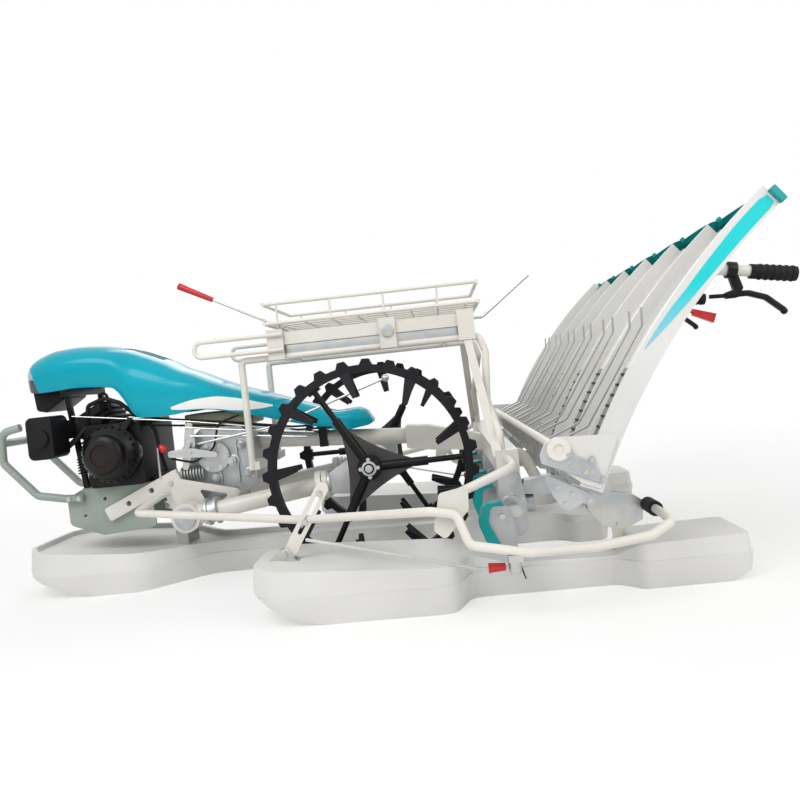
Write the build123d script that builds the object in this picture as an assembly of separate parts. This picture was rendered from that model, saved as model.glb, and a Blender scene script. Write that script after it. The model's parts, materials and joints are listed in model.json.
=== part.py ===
from build123d import *
import math
import os

# Six-row walk-behind rice transplanter.
# X points forward, Y to the machine's left and Z up, with the ground at z = 0.
# The origin lies on the ground below the middle of the machine. All sizes are in millimetres.

FIT = 0.3                 # clearance between flat or broad moving faces
SHAFT_FIT = 0.1           # radial clearance of shafts and pins in their bores
SHEET = 5.0               # thickness of the bracket plates
WIRE_SIDES = 6            # faces round a thin wire

# Rows
ROW_PITCH = 300.0
CASE_COUNT = 3            # each planting case serves two rows
CASE_PITCH = 2 * ROW_PITCH
CASE_YS = [(i - 1) * CASE_PITCH for i in range(CASE_COUNT)]
LANE_COUNT = 2 * CASE_COUNT

# Drive wheels
WHEEL_X = 33.0
WHEEL_TRACK = 640.0
LUG_TIP_R = 326.0
WHEEL_LIFT = 2.0          # lug tips above the ground while the floats carry the machine
WHEEL_Z = LUG_TIP_R + WHEEL_LIFT
RIM_INNER_R = 286.0
RIM_OUTER_R = 309.0
RIM_WIDTH = 34.0
LUG_COUNT = 27
LUG_ROOT = 44.0
LUG_TIP = 20.0
PADDLE_EVERY = 3          # every third lug carries a pair of paddles
PADDLE_REACH = 74.0       # how far a paddle points in from the rim
PADDLE_SPREAD = 30.0      # how far its tip stands out from the rim's side
PADDLE_THICK = 9.0
PADDLE_LEAN = 12.0        # degrees from the radius
PADDLE_FIRST = {1: 0, -1: 1}   # first lug with paddles on the left and right wheel, clear of the spokes
HUB_R = 36.0
HUB_LENGTH = 76.0
AXLE_R = 14.0
SPOKE_COUNT = 3
SPOKE_R = 9.0
SPOKE_SLEEVE_R = 14.0
SPOKE_SLEEVE_END = 175.0  # radius where the sleeve ends
SPOKE_ANGLES = {1: 59.0, -1: 0.0}   # first spoke of the left and right wheel, above the forward direction
WEB_R = 150.0
WEB_THICK = 4.0

# Swing arms that carry the wheels
PIVOT_X = 639.0
PIVOT_Z = 215.0
PIVOT_SHAFT_R = 24.0
PIVOT_BOSS_R = 46.0
ARM_Y = 212.0             # middle of the arm, out from the machine's middle
ARM_TUBE_R = 27.0
ARM_BOSS_LENGTH = 66.0
ARM_END_X = 178.0         # flange between the tube and the wheel's gear case
ARM_END_Z = 276.0
FLANGE_R = 43.0
FLANGE_THICK = 16.0
GEARCASE_THICK = 62.0
GEARCASE_R = 54.0

# Floats
FLOAT_HEIGHT = 128.0
FLOAT_LIP_Z = 70.0        # parting line of the two moulded shells
FLOAT_LEDGE = 4.0         # how far the lower shell stands out at the parting line
FLOAT_LOWER_TAPER = 9.0   # degrees that the lower shell draws in towards the sole
FLOAT_UPPER_TAPER = 6.0   # degrees that the upper shell draws in towards the deck
FLOAT_RIM = 26.0          # width of the raised edge round the middle float's deck
FLOAT_DECK_DEPTH = 16.0   # how far that deck lies below the edge
NOSE_LIFT = 84.0          # height of the nose's underside
SIDE_FLOAT_Y = 2 * ROW_PITCH

# Engine and its bed
BED_HALF_WIDTH = 140.0
BED_TOP_Z = 330.0
BED_HOLE_R = 6.0
ENGINE_X = 872.0
SHAFT_Z = 438.0
ENGINE_LENGTH = 186.0
ENGINE_HEIGHT = 205.0
ENGINE_LEFT_Y = 175.0
ENGINE_RIGHT_Y = -130.0
RECOIL_R = 94.0
RECOIL_RING_R = 62.0
RECOIL_DEPTH = 100.0
FAN_SLOTS = 24            # air slots round the fan housing's shoulder
FAN_SLOT_WIDTH = 7.0
FAN_SLOT_DEPTH = 12.0
FAN_SLOT_OUT = 40.0       # middle of the slots, out from the engine's face

# Transmission, cross shaft and main frame
GEARBOX_FRONT_X = 672.0
GEARBOX_REAR_X = 428.0
GEARBOX_HALF_WIDTH = 112.0
GEARBOX_TOP_Z = 486.0
GEARBOX_BOTTOM_Z = 262.0
CHANNEL_WIDTH = 46.0
CHANNEL_DEPTH = 20.0
MAIN_TUBE_R = 27.0
MAIN_TUBE_FRONT_Z = 425.0
MAIN_TUBE_REAR_Z = 384.0

# Lever bank
LEVER_HUB_X = 631.0
LEVER_HUB_Z = 441.0

# Tool beam and planting cases
BEAM_X = -352.0
BEAM_Z = 344.0
BEAM_SIZE = 58.0
BEAM_HALF_LENGTH = 650.0
CASE_WIDTH = 84.0
CASE_R = 36.0
CRANK_AXIS_X = -352.0
CRANK_AXIS_Z = 226.0
CRANK_THROW = 36.0
CRANK_SHAFT_R = 11.0
CRANK_PLATE_THICK = 12.0
CRANK_PIN_R = 7.0
CRANK_GAP = 5.0           # between the crank plates and the arms' covers
ARM_PLATE_THICK = 30.0    # planting arm's own thickness
COVER_THICK = 9.0

# Seedling platform
PLATFORM_R = 1553.0       # radius of the tray's rear face
PLATFORM_FOOT_X = -530.0
PLATFORM_FOOT_Z = 286.0
PLATFORM_FOOT_ANGLE = 22.8
PLATFORM_TOP_ANGLE = 50.4
TRAY_THICK = 6.0
DIVIDER_HEIGHT = 34.0
DIVIDER_THICK = 10.0
SIDE_STRIP_DEPTH = 48.0
SIDE_STRIP_THICK = 12.0
BELT_WIDTH = 150.0
BELT_THICK = 3.5
BELT_RIB = 4.0
BELT_RIBS = 8
BELT_RIB_STEP = 1.15      # degrees between ribs

# Side markers
MARKER_X = -330.0
MARKER_Y = 842.0
MARKER_Z = 122.0
MARKER_EYE_HEIGHT = 24.0
MARKER_PIN_R = 6.0
MARKER_COLLAR = 8.0       # keeps the grip clear of the bracket as the arm swings

# Tubes and rods
RACK_TUBE_R = 11.0
RACK_CROSS_R = 9.0
RACK_HALF_WIDTH = 200.0
RACK_TUBE_Z = 690.0
RACK_FRONT_X = 418.0
RACK_REAR_X = -335.0
RACK_FOOT_Z = 342.0
GUARD_TUBE_R = 11.0
GUARD_PLATE_Y = 832.0     # inner face of the plate that carries the guard tube
BUMPER_TUBE_R = 13.0
BUMPER_CROSS_X = 1254.0
BUMPER_CROSS_Z = 505.0
HANDLE_TUBE_R = 16.0
HANDLE_Y = 380.0
GRIP_R = 21.0
GRIP_LENGTH = 130.0
BASKET_HALF_WIDTH = 226.0
BASKET_FRONT_X = 326.0
BASKET_REAR_X = -345.0
BASKET_FLOOR_Z = 796.0
BASKET_RAIL_Z = 857.0
BASKET_RAIL_R = 6.0
BASKET_WIRE_R = 3.5
CROSS_WIRES = 8
RUNNER_WIDTH = 24.0
RUNNER_HEIGHT = 40.0
RUNNER_RISE = 26.0        # runners' underside above the rack's rails
SLIDE_GAP = 5.0           # between the runners and the plates beside them
SLIDE_PLATE_XS = (300.0, -55.0, -300.0)
SLIDE_PLATE_HALF = 26.0
SLIDE_PLATE_THICK = 4.0
LOOP_REACH_X = 556.0      # front end of the rack's two loops
LOOP_TOP_Z = 760.0
LOOP_FOOT_Z = 712.0
LOOP_TUBE_R = 7.0
STOWED_ROD_R = 4.0


def rounded_path(points, bend):
    """A wire of straight runs, with an arc of radius bend at each inner corner."""
    edges = []
    start = Vector(*points[0])
    for corner, after in zip(points[1:-1], points[2:]):
        corner, after = Vector(*corner), Vector(*after)
        back = (start - corner).normalized()
        ahead = (after - corner).normalized()
        half = math.radians(back.get_angle(ahead)) / 2
        middle = back + ahead
        run = bend / math.tan(half)
        if run > 0.01 and middle.length > 0.01:
            first = corner + back * run
            last = corner + ahead * run
            crown = corner + middle.normalized() * (bend / math.sin(half) - bend)
            edges += [Line(start, first), ThreePointArc(first, crown, last)]
            start = last
        else:
            edges.append(Line(start, corner))
            start = corner
    edges.append(Line(start, Vector(*points[-1])))
    return Wire([edge for edge in edges])


def tube(points, radius, bend=0.0, sides=0):
    """A bar of round (or many-sided) section along a bent path."""
    path = rounded_path(points, bend)
    section = RegularPolygon(radius, sides) if sides else Circle(radius)
    plane = Plane(origin=path @ 0, z_dir=path % 0)
    transition = Transition.TRANSFORMED if bend else Transition.RIGHT
    return sweep(plane * section, path, transition=transition)


def outline(rows):
    """A closed face in X and Y, from rows of x, y and corner radius."""
    count = len(rows)
    edges = []
    starts = []
    ends = []
    for i, (x, y, radius) in enumerate(rows):
        corner = Vector(x, y)
        back = (Vector(*rows[i - 1][:2]) - corner).normalized()
        ahead = (Vector(*rows[(i + 1) % count][:2]) - corner).normalized()
        half = math.radians(back.get_angle(ahead)) / 2
        run = radius / math.tan(half)
        first = corner + back * run
        last = corner + ahead * run
        starts.append(first)
        ends.append(last)
        if radius > 0:
            crown = corner + (back + ahead).normalized() * (radius / math.sin(half) - radius)
            edges.append(ThreePointArc(first, crown, last))
    for i in range(count):
        edges.append(Line(ends[i], starts[(i + 1) % count]))
    return make_face(edges)


def side_slab(face, y0, y1):
    """A slab from y0 to y1 whose face is drawn in side view."""
    low, high = min(y0, y1), max(y0, y1)
    plane = Plane(origin=(0, high, 0), x_dir=(1, 0, 0), z_dir=(0, -1, 0))
    return extrude(plane * face, amount=high - low)


def side_plate(rows, y0, y1):
    """A plate drawn in side view (rows of x, z, corner radius), from y0 to y1."""
    return side_slab(outline(rows), y0, y1)


def block(x0, x1, y0, y1, z0, z1):
    """A box between two corners."""
    box = Box(abs(x1 - x0), abs(y1 - y0), abs(z1 - z0))
    return Pos((x0 + x1) / 2, (y0 + y1) / 2, (z0 + z1) / 2) * box


def disc(x, z, radius, y0, y1):
    """A cylinder along Y, from y0 to y1."""
    return Pos(x, (y0 + y1) / 2, z) * Rot(90, 0, 0) * Cylinder(radius, abs(y1 - y0))


def bar(start, end, first, last):
    """A tapered bar: rectangle first (width, depth) at start, rectangle last at end."""
    start, end = Vector(*start), Vector(*end)
    direction = (end - start).normalized()
    side = Vector(0, 1, 0) if abs(direction.Y) < 0.9 else Vector(1, 0, 0)
    near = Plane(origin=start, x_dir=side.cross(direction), z_dir=direction)
    far = Plane(origin=end, x_dir=side.cross(direction), z_dir=direction)
    return loft([near * Rectangle(*first), far * Rectangle(*last)])


def mirrored(shape):
    """The same shape on the machine's right side."""
    return mirror(shape, about=Plane.XZ)


def both(shape):
    """The shape and its twin on the other side, as one group."""
    return Compound(children=[shape, mirrored(shape)])


def group(shapes):
    """Several solids that share a node."""
    solids = []
    for shape in shapes:
        solids.extend(shape.solids())
    return Compound(children=solids)


# ---------------------------------------------------------------- wheels

def wheel_rim(side):
    """Rubber rim with its lugs and the paddles that stand out from every third lug."""
    y = side * WHEEL_TRACK / 2
    section = Plane.XY * Pos((RIM_INNER_R + RIM_OUTER_R) / 2, 0) * Rectangle(
        RIM_OUTER_R - RIM_INNER_R, RIM_WIDTH)
    rim = revolve(section, axis=Axis.Y)
    half = RIM_WIDTH / 2
    lug_face = make_face(Polyline(
        (RIM_OUTER_R - 6, -LUG_ROOT / 2), (LUG_TIP_R, -LUG_TIP / 2),
        (LUG_TIP_R, LUG_TIP / 2), (RIM_OUTER_R - 6, LUG_ROOT / 2), close=True))
    lug = extrude(Plane.XZ * lug_face, amount=half, both=True)
    tip_r = RIM_INNER_R - PADDLE_REACH
    root_r = (RIM_INNER_R + RIM_OUTER_R) / 2
    paddle = bar(
        (root_r, half - PADDLE_THICK, 0), (tip_r, half + PADDLE_SPREAD, 0),
        (LUG_ROOT * 0.8, PADDLE_THICK), (LUG_TIP * 0.7, PADDLE_THICK * 0.7))
    lean = Pos(root_r, 0, 0) * Rot(0, PADDLE_LEAN, 0) * Pos(-root_r, 0, 0)
    pair = [lean * paddle, lean * mirrored(paddle)]
    parts = [rim]
    for i in range(LUG_COUNT):
        turn = Rot(0, -360.0 * i / LUG_COUNT, 0)
        parts.append(turn * lug)
        if i % PADDLE_EVERY == PADDLE_FIRST[side]:
            parts += [turn * p for p in pair]
    wheel = parts[0].fuse(*parts[1:])
    return Pos(WHEEL_X, y, WHEEL_Z) * wheel


def wheel_spider(side):
    """Hub, three spokes with sleeves and the thin web between them."""
    y = side * WHEEL_TRACK / 2
    hub = disc(0, 0, HUB_R, -HUB_LENGTH / 2, HUB_LENGTH / 2)
    parts = [hub]
    web = []
    for i in range(SPOKE_COUNT):
        angle = SPOKE_ANGLES[side] + 360.0 * i / SPOKE_COUNT
        turn = Rot(0, -angle, 0)
        reach = RIM_INNER_R - 1
        spoke = Pos(reach / 2, 0, 0) * Rot(0, 90, 0) * Cylinder(SPOKE_R, reach)
        sleeve = Pos(SPOKE_SLEEVE_END / 2, 0, 0) * Rot(0, 90, 0) * Cylinder(
            SPOKE_SLEEVE_R, SPOKE_SLEEVE_END)
        foot = block(reach - 8, reach + 8, -13, 13, -20, 20) & disc(0, 0, RIM_INNER_R, -20, 20)
        parts += [turn * spoke, turn * sleeve, turn * foot]
        radians = math.radians(angle)
        tip = Vector(WEB_R * math.cos(radians), WEB_R * math.sin(radians))
        between = math.radians(angle + 180.0 / SPOKE_COUNT)
        dip = Vector(HUB_R * 1.35 * math.cos(between), HUB_R * 1.35 * math.sin(between))
        web.append((tip, dip))
    edges = []
    for i, (tip, dip) in enumerate(web):
        edges.append(ThreePointArc(tip, dip, web[(i + 1) % SPOKE_COUNT][0]))
    face = Plane.XZ * make_face(edges)
    parts.append(extrude(face, amount=WEB_THICK / 2, both=True))
    spider = parts[0].fuse(*parts[1:])
    bore = disc(0, 0, AXLE_R + SHAFT_FIT, -HUB_LENGTH, HUB_LENGTH)
    spider = spider - bore
    if side < 0:
        spider = mirrored(spider)
    return Pos(WHEEL_X, y, WHEEL_Z) * spider


def arm_tube(side):
    """Swing arm: pivot boss, tube and flange."""
    start = (PIVOT_X, ARM_Y, PIVOT_Z)
    end = (ARM_END_X + FLANGE_THICK, ARM_Y, ARM_END_Z)
    boss = disc(PIVOT_X, PIVOT_Z, PIVOT_BOSS_R, ARM_Y - ARM_BOSS_LENGTH / 2, ARM_Y + ARM_BOSS_LENGTH / 2)
    along = (Vector(*end) - Vector(*start)).normalized()
    shank = tube([start, end], ARM_TUBE_R)
    flange = Plane(origin=end, z_dir=along) * Pos(0, 0, FLANGE_THICK / 2) * Cylinder(FLANGE_R, FLANGE_THICK)
    collar_at = Vector(*start) + along * (PIVOT_BOSS_R + 6)
    collar = Plane(origin=collar_at, z_dir=along) * Cylinder(ARM_TUBE_R + 4, 46)
    arm = boss.fuse(shank, flange, collar)
    bore_r = PIVOT_SHAFT_R + SHAFT_FIT
    arm = arm - disc(PIVOT_X, PIVOT_Z, bore_r, ARM_Y - ARM_BOSS_LENGTH, ARM_Y + ARM_BOSS_LENGTH)
    return arm if side > 0 else mirrored(arm)


def arm_gearcase(side):
    """Cast gear case at the arm's end, with the axle that carries the wheel."""
    start = Vector(PIVOT_X, ARM_Y, PIVOT_Z)
    along = (Vector(ARM_END_X, ARM_Y, ARM_END_Z) - start).normalized()
    seat = Vector(ARM_END_X + FLANGE_THICK, ARM_Y, ARM_END_Z) + along * FLANGE_THICK
    inner = ARM_Y - GEARCASE_THICK / 2
    outer = ARM_Y + GEARCASE_THICK / 2
    neck_end = seat + along * 60
    neck = Plane(origin=seat, z_dir=along) * Pos(0, 0, 4) * Cylinder(FLANGE_R - 4, 8)
    body = side_plate([
        (seat.X - 6, seat.Z + 34, 10), (WHEEL_X + 20, WHEEL_Z + GEARCASE_R, 30),
        (WHEEL_X - GEARCASE_R, WHEEL_Z + GEARCASE_R, 46), (WHEEL_X - GEARCASE_R, WHEEL_Z - GEARCASE_R, 46),
        (neck_end.X, neck_end.Z - 42, 24), (seat.X - 2, seat.Z - 30, 10)], inner, outer)
    cap = disc(WHEEL_X, WHEEL_Z, GEARCASE_R - 14, inner - 9, inner)
    boss = disc(WHEEL_X, WHEEL_Z, AXLE_R + 14, outer, WHEEL_TRACK / 2 - HUB_LENGTH / 2 - FIT)
    axle = disc(WHEEL_X, WHEEL_Z, AXLE_R, outer, WHEEL_TRACK / 2 + HUB_LENGTH / 2)
    nut = disc(WHEEL_X, WHEEL_Z, AXLE_R + 8, WHEEL_TRACK / 2 + HUB_LENGTH / 2 + FIT,
               WHEEL_TRACK / 2 + HUB_LENGTH / 2 + 12)
    tip = disc(WHEEL_X, WHEEL_Z, AXLE_R - 3, WHEEL_TRACK / 2, WHEEL_TRACK / 2 + HUB_LENGTH / 2 + 18)
    case = body.fuse(neck, cap, boss, axle, tip, nut) - arm_tube(1)
    return case if side > 0 else mirrored(case)


# ---------------------------------------------------------------- floats

def float_hull(plan, profile):
    """Two drafted shells that meet at a ledge, cut to the side profile."""
    lip = Pos(0, 0, FLOAT_LIP_Z)
    lower = extrude(lip * outline(plan), amount=FLOAT_LIP_Z + 2, dir=(0, 0, -1), taper=FLOAT_LOWER_TAPER)
    upper_face = lip * offset(outline(plan), amount=-FLOAT_LEDGE)
    upper = extrude(upper_face, amount=FLOAT_HEIGHT, taper=FLOAT_UPPER_TAPER)
    reach = max(abs(row[1]) for row in plan) + 10
    return lower.fuse(upper) & side_plate(profile, -reach, reach)


def sunk_deck(hull, plan):
    """What is taken from a hull to sink its deck inside a raised edge."""
    well = extrude(offset(outline(plan), amount=-FLOAT_RIM), amount=FLOAT_HEIGHT * 2)
    well = well - Pos(0, 0, -FLOAT_DECK_DEPTH) * hull
    reach = max(abs(row[0]) for row in plan) + 10
    return well - block(-reach, reach, -reach, reach, -FLOAT_HEIGHT, FLOAT_LIP_Z)


def symmetric(rows):
    """Rows of x, half width and corner radius, closed across the middle line."""
    return rows + [(x, -half, radius) for x, half, radius in reversed(rows)]


def centre_float():
    """Middle float: a broad front, a waist between the wheels and a narrow tail."""
    nose, tail = 1216.0, -700.0
    # x, half width, corner radius
    plan = symmetric([
        (nose, 150, 120), (nose - 90, 272, 150), (790, 276, 120), (610, 104, 120),
        (-540, 92, 60), (-580, 150, 60), (tail, 150, 40)])
    # x, z, corner radius
    profile = [
        (tail, 6, 4), (tail + 30, 0, 20), (nose - 250, 0, 400), (nose + 2, NOSE_LIFT, 10),
        (nose + 2, FLOAT_HEIGHT + 22, 10), (nose - 160, FLOAT_HEIGHT + 14, 200),
        (620, FLOAT_HEIGHT - 20, 300), (tail, FLOAT_HEIGHT - 40, 10)]
    hull = float_hull(plan, profile)
    return hull - sunk_deck(hull, plan)


def side_float(side):
    """Outer float: a broad pad in front, a waist past the planting arms and a tail pad."""
    nose, tail = 340.0, -930.0
    # x, half width, corner radius
    plan = symmetric([
        (nose, 90, 80), (nose - 70, 176, 90), (-190, 182, 50), (-236, 60, 30),
        (-600, 60, 40), (-650, 122, 40), (tail, 116, 26)])
    # x, z, corner radius
    profile = [
        (tail, 30, 10), (tail + 60, 0, 60), (nose - 160, 0, 260), (nose + 2, NOSE_LIFT, 10),
        (nose + 2, FLOAT_HEIGHT + 16, 20), (nose - 140, FLOAT_HEIGHT + 8, 200),
        (-240, FLOAT_HEIGHT - 18, 60), (-330, 84, 60), (-600, 76, 60),
        (-650, 112, 40), (tail, 118, 10)]
    return Pos(0, side * SIDE_FLOAT_Y, 0) * float_hull(plan, profile)


# ---------------------------------------------------------------- engine

def engine_bed():
    """Two side plates with lightening holes, joined by the plate under the engine."""
    rows = [
        (1062, 301, 12), (1061, 212, 20), (950, 170, 30), (770, 182, 20),
        (785, BED_TOP_Z, 12), (1014, BED_TOP_Z - 4, 20)]
    plate = side_plate(rows, BED_HALF_WIDTH - SHEET, BED_HALF_WIDTH)
    for x, z in [(936, 290), (1007, 239)]:
        plate = plate - disc(x, z, BED_HOLE_R, 0, 2 * BED_HALF_WIDTH)
    inside = BED_HALF_WIDTH - SHEET
    floor = block(GEARBOX_FRONT_X, 1010, -inside, inside, BED_TOP_Z - 8, BED_TOP_Z)
    front = block(1040, 1052, -inside, inside, 225, 290)
    return plate.fuse(mirrored(plate), floor, front)


def bumper():
    """Tube loop in front, bolted to the bed's side plates."""
    y = BED_HALF_WIDTH + BUMPER_TUBE_R
    points = [
        (1000, y, 300), (1062, y, 304), (1152, y, 322), (1256, y, 440), (1252, y, 540), (1186, y, 552)]
    rail = tube(points, BUMPER_TUBE_R, 34)
    cross = tube([(BUMPER_CROSS_X, -y, BUMPER_CROSS_Z), (BUMPER_CROSS_X, y, BUMPER_CROSS_Z)], BUMPER_TUBE_R)
    return rail.fuse(mirrored(rail), cross)


def engine_block():
    """Crankcase, inclined cylinder and head as one closed mass."""
    half = ENGINE_LENGTH / 2
    floor = BED_TOP_Z
    case = block(ENGINE_X - half, ENGINE_X + half, ENGINE_RIGHT_Y, ENGINE_LEFT_Y, floor, floor + ENGINE_HEIGHT)
    case = fillet(case.edges().filter_by(Axis.Y), 18)
    lean = Pos(ENGINE_X, 0, SHAFT_Z) * Rot(0, 28, 0)
    barrel = lean * Pos(40, 10, 120) * Box(120, 150, 130)
    fins = [lean * Pos(40, 10, 84 + 18 * i) * Box(140, 168, 5) for i in range(5)]
    feet = [block(x - 16, x + 16, -110, 110, floor, floor + 14)
            for x in (ENGINE_X - half + 6, ENGINE_X + half - 6)]
    return case.fuse(barrel, *fins, *feet)


def recoil_starter():
    """Round fan cover with its raised ring and pull handle."""
    face = ENGINE_LEFT_Y
    # axial distance from the engine's face, radius
    profile = [
        (0, 0), (0, RECOIL_R), (34, RECOIL_R), (52, RECOIL_R - 14), (60, RECOIL_RING_R + 6),
        (RECOIL_DEPTH - 8, RECOIL_RING_R), (RECOIL_DEPTH, RECOIL_RING_R - 12),
        (RECOIL_DEPTH - 10, RECOIL_RING_R - 22), (RECOIL_DEPTH - 10, 0)]
    sketch = make_face(Polyline(*[(radius, depth) for depth, radius in profile], close=True))
    cover = Pos(ENGINE_X, face, SHAFT_Z) * revolve(sketch, axis=Axis.Y)
    slots = []
    for i in range(FAN_SLOTS):
        turn = Pos(ENGINE_X, face + FAN_SLOT_OUT, SHAFT_Z) * Rot(0, 360.0 * i / FAN_SLOTS, 0)
        slots.append(turn * Pos(RECOIL_R - 6, 0, 0) * Box(2 * FAN_SLOT_DEPTH, FAN_SLOT_DEPTH, FAN_SLOT_WIDTH))
    cover = cover - slots
    y = face + 17
    grip = bar((ENGINE_X - 46, y, SHAFT_Z + 70), (ENGINE_X - 74, y, SHAFT_Z + 106), (18, 30), (14, 26))
    return cover.fuse(grip)


def air_cleaner():
    """Box and round boss at the engine's front left, with its duct to the head."""
    case = block(1014, 1096, 178, 286, 446, 580)
    case = fillet(case.edges().filter_by(Axis.Y), 20)
    boss = disc(1055, 512, 30, 286, 298)
    duct = block(ENGINE_X + 50, 1020, 60, 130, 500, 560)
    elbow = block(1014, 1060, 60, 190, 500, 560)
    return case.fuse(boss, duct, elbow) - engine_block()


def muffler():
    """Silencer drum on the engine's right side."""
    drum = Pos(ENGINE_X + 30, ENGINE_RIGHT_Y - 52, 494) * Rot(0, 90, 0) * Cylinder(44, 180)
    pipe = block(ENGINE_X, ENGINE_X + 40, ENGINE_RIGHT_Y - 20, ENGINE_RIGHT_Y + 40, 470, 505)
    return drum.fuse(pipe) - engine_block()


def hood_section(x, half, low, high, inset):
    """One arched section of the hood in the plane at x."""
    w = half - inset
    top = high - inset
    shoulder = low + (top - low) * 0.55
    plane = Plane(origin=(x, 0, 0), x_dir=(0, 1, 0), z_dir=(1, 0, 0))
    edges = [
        Line((-w * 0.94, low), (w * 0.94, low)), Line((w * 0.94, low), (w, shoulder)),
        ThreePointArc((w, shoulder), (0, top), (-w, shoulder)), Line((-w, shoulder), (-w * 0.94, low))]
    return plane * make_face(edges)


# x, half width, lower edge z, crown z of the hood's sections
HOOD = [
    (1172, 96, 690, 752), (1140, 140, 668, 772), (1050, 164, 661, 793), (898, 170, 657, 799),
    (800, 166, 546, 776), (681, 158, 540, 724), (580, 146, 547, 660), (470, 130, 560, 611),
    (273, 96, 497, 535), (190, 82, 470, 500), (122, 80, 452, 514), (36, 58, 431, 458)]
HOOD_WALL = 5.0
HOOD_TAIL_X = 196.0       # behind this the hood's tail is solid
HOOD_STEPS = 2            # sections for each row of the table
VENT_REAR_X = 716.0
VENT_SLOTS = 6
VENT_PITCH = 24.0
VENT_SLOT = 14.0
VENT_HALF_WIDTH = 58.0
VENT_FLOOR_Z = 650.0      # the slots reach down to here, inside the hood
VENT_CEILING_Z = 900.0


def faired(x, column):
    """One measure of the hood at x, on a smooth curve through the table's rows."""
    rows = HOOD[::-1]
    last = len(rows) - 2
    steps = [(rows[k + 1][column] - rows[k][column]) / (rows[k + 1][0] - rows[k][0]) for k in range(last + 1)]
    k = max(n for n in range(last + 1) if rows[n][0] <= x)
    slopes = []
    for n in (k, k + 1):
        before, after = steps[max(n - 1, 0)], steps[min(n, last)]
        slopes.append(2 * before * after / (before + after) if before * after > 0 else 0.0)
    span = rows[k + 1][0] - rows[k][0]
    t = (x - rows[k][0]) / span
    start, end = rows[k][column], rows[k + 1][column]
    blend = t * t * (3 - 2 * t)
    bend = span * t * (1 - t) * (slopes[0] * (1 - t) - slopes[1] * t)
    return start * (1 - blend) + end * blend + bend


def hood_stations():
    """Sections of the hood from nose to tail: x, half width, lower edge and crown."""
    xs = []
    for near, far in zip(HOOD, HOOD[1:]):
        xs += [near[0] + (far[0] - near[0]) * i / HOOD_STEPS for i in range(HOOD_STEPS)]
    xs.append(HOOD[-1][0])
    return [(x, faired(x, 1), faired(x, 2), faired(x, 3)) for x in xs]


def hood_form():
    return loft([hood_section(*row, 0) for row in hood_stations()], ruled=True)


def hood():
    """Long moulded bonnet, open below, with air slots in its crown and the lamp's place cut from its nose."""
    inner = [hood_section(x, half, low - 1, high, HOOD_WALL)
             for x, half, low, high in hood_stations() if HOOD_TAIL_X < x < HOOD[0][0]]
    shell = hood_form() - loft(inner, ruled=True)
    slots = []
    for i in range(VENT_SLOTS):
        x = VENT_REAR_X + i * VENT_PITCH
        slots.append(block(x, x + VENT_SLOT, -VENT_HALF_WIDTH, VENT_HALF_WIDTH, VENT_FLOOR_Z, VENT_CEILING_Z))
    return shell - slots - lamp_space()


def lamp_space():
    """The notch in the nose that holds the head lamp."""
    return block(1136, 1200, -200, 200, 690, 742)


def head_lamp():
    """Lens across the nose, flush with the hood."""
    return hood_form() & lamp_space()


def fuel_tank():
    """Tank under the middle of the hood, carried on the gearbox."""
    tank = block(430, 660, -96, 96, GEARBOX_TOP_Z, 536)
    return fillet(tank.edges().filter_by(Axis.Z), 20)


# ---------------------------------------------------------------- chassis

def transmission():
    """Main gearbox casting with the cross shaft that the swing arms turn on."""
    half = GEARBOX_HALF_WIDTH
    case = side_plate([
        (GEARBOX_FRONT_X, GEARBOX_BOTTOM_Z + 20, 14), (GEARBOX_FRONT_X, GEARBOX_TOP_Z - 60, 20),
        (GEARBOX_FRONT_X - 70, GEARBOX_TOP_Z, 24), (GEARBOX_REAR_X + 40, GEARBOX_TOP_Z, 20),
        (GEARBOX_REAR_X, GEARBOX_TOP_Z - 50, 20), (GEARBOX_REAR_X, GEARBOX_BOTTOM_Z + 40, 20),
        (GEARBOX_REAR_X + 60, GEARBOX_BOTTOM_Z, 20), (GEARBOX_FRONT_X - 30, GEARBOX_BOTTOM_Z, 14)],
        -half, half)
    ribs = [block(x - 4, x + 4, -half - 10, half + 10, 300, 440)
            for x in (GEARBOX_REAR_X + 60, GEARBOX_REAR_X + 120)]
    bearing = disc(560, 392, 52, -half - 24, half + 24)
    saddle = block(PIVOT_X - 40, PIVOT_X + 28, -half, half, PIVOT_Z - 20, GEARBOX_BOTTOM_Z + 10)
    reach = ARM_Y + ARM_BOSS_LENGTH / 2 + 8
    shaft = disc(PIVOT_X, PIVOT_Z, PIVOT_SHAFT_R, -reach, reach)
    caps = [disc(PIVOT_X, PIVOT_Z, PIVOT_SHAFT_R + 10, side * (ARM_Y + ARM_BOSS_LENGTH / 2 + FIT), side * reach)
            for side in (-1, 1)]
    return case.fuse(bearing, saddle, shaft, *ribs, *caps)


GUSSET_Y = BED_HALF_WIDTH + CHANNEL_DEPTH


def side_frames():
    """On each side an inclined channel from the bed to the gusset plate on the cross shaft."""
    low, high = Vector(925, 0, 236), Vector(676, 0, 345)
    along = (high - low).normalized()
    across = Vector(-along.Z, 0, along.X) * (CHANNEL_WIDTH / 2)
    corners = [low - across, low + across, high + across, high - across]
    channel = side_plate([(c.X, c.Z, 8) for c in corners], BED_HALF_WIDTH, GUSSET_Y)
    for share in (0.3, 0.62):
        spot = low + (high - low) * share
        channel = channel - disc(spot.X, spot.Z, 9, 0, 300)
    plate = side_plate([(736, 316, 10), (690, 338, 10), (456, 276, 14), (612, 186, 24), (690, 190, 16)],
                       GUSSET_Y, GUSSET_Y + SHEET)
    window = side_plate([(612, 294, 6), (512, 268, 6), (580, 226, 6)], 0, 300)
    plate = plate - window - disc(PIVOT_X, PIVOT_Z, PIVOT_SHAFT_R, 0, 300)
    side = channel.fuse(plate)
    return both(side)


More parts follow.
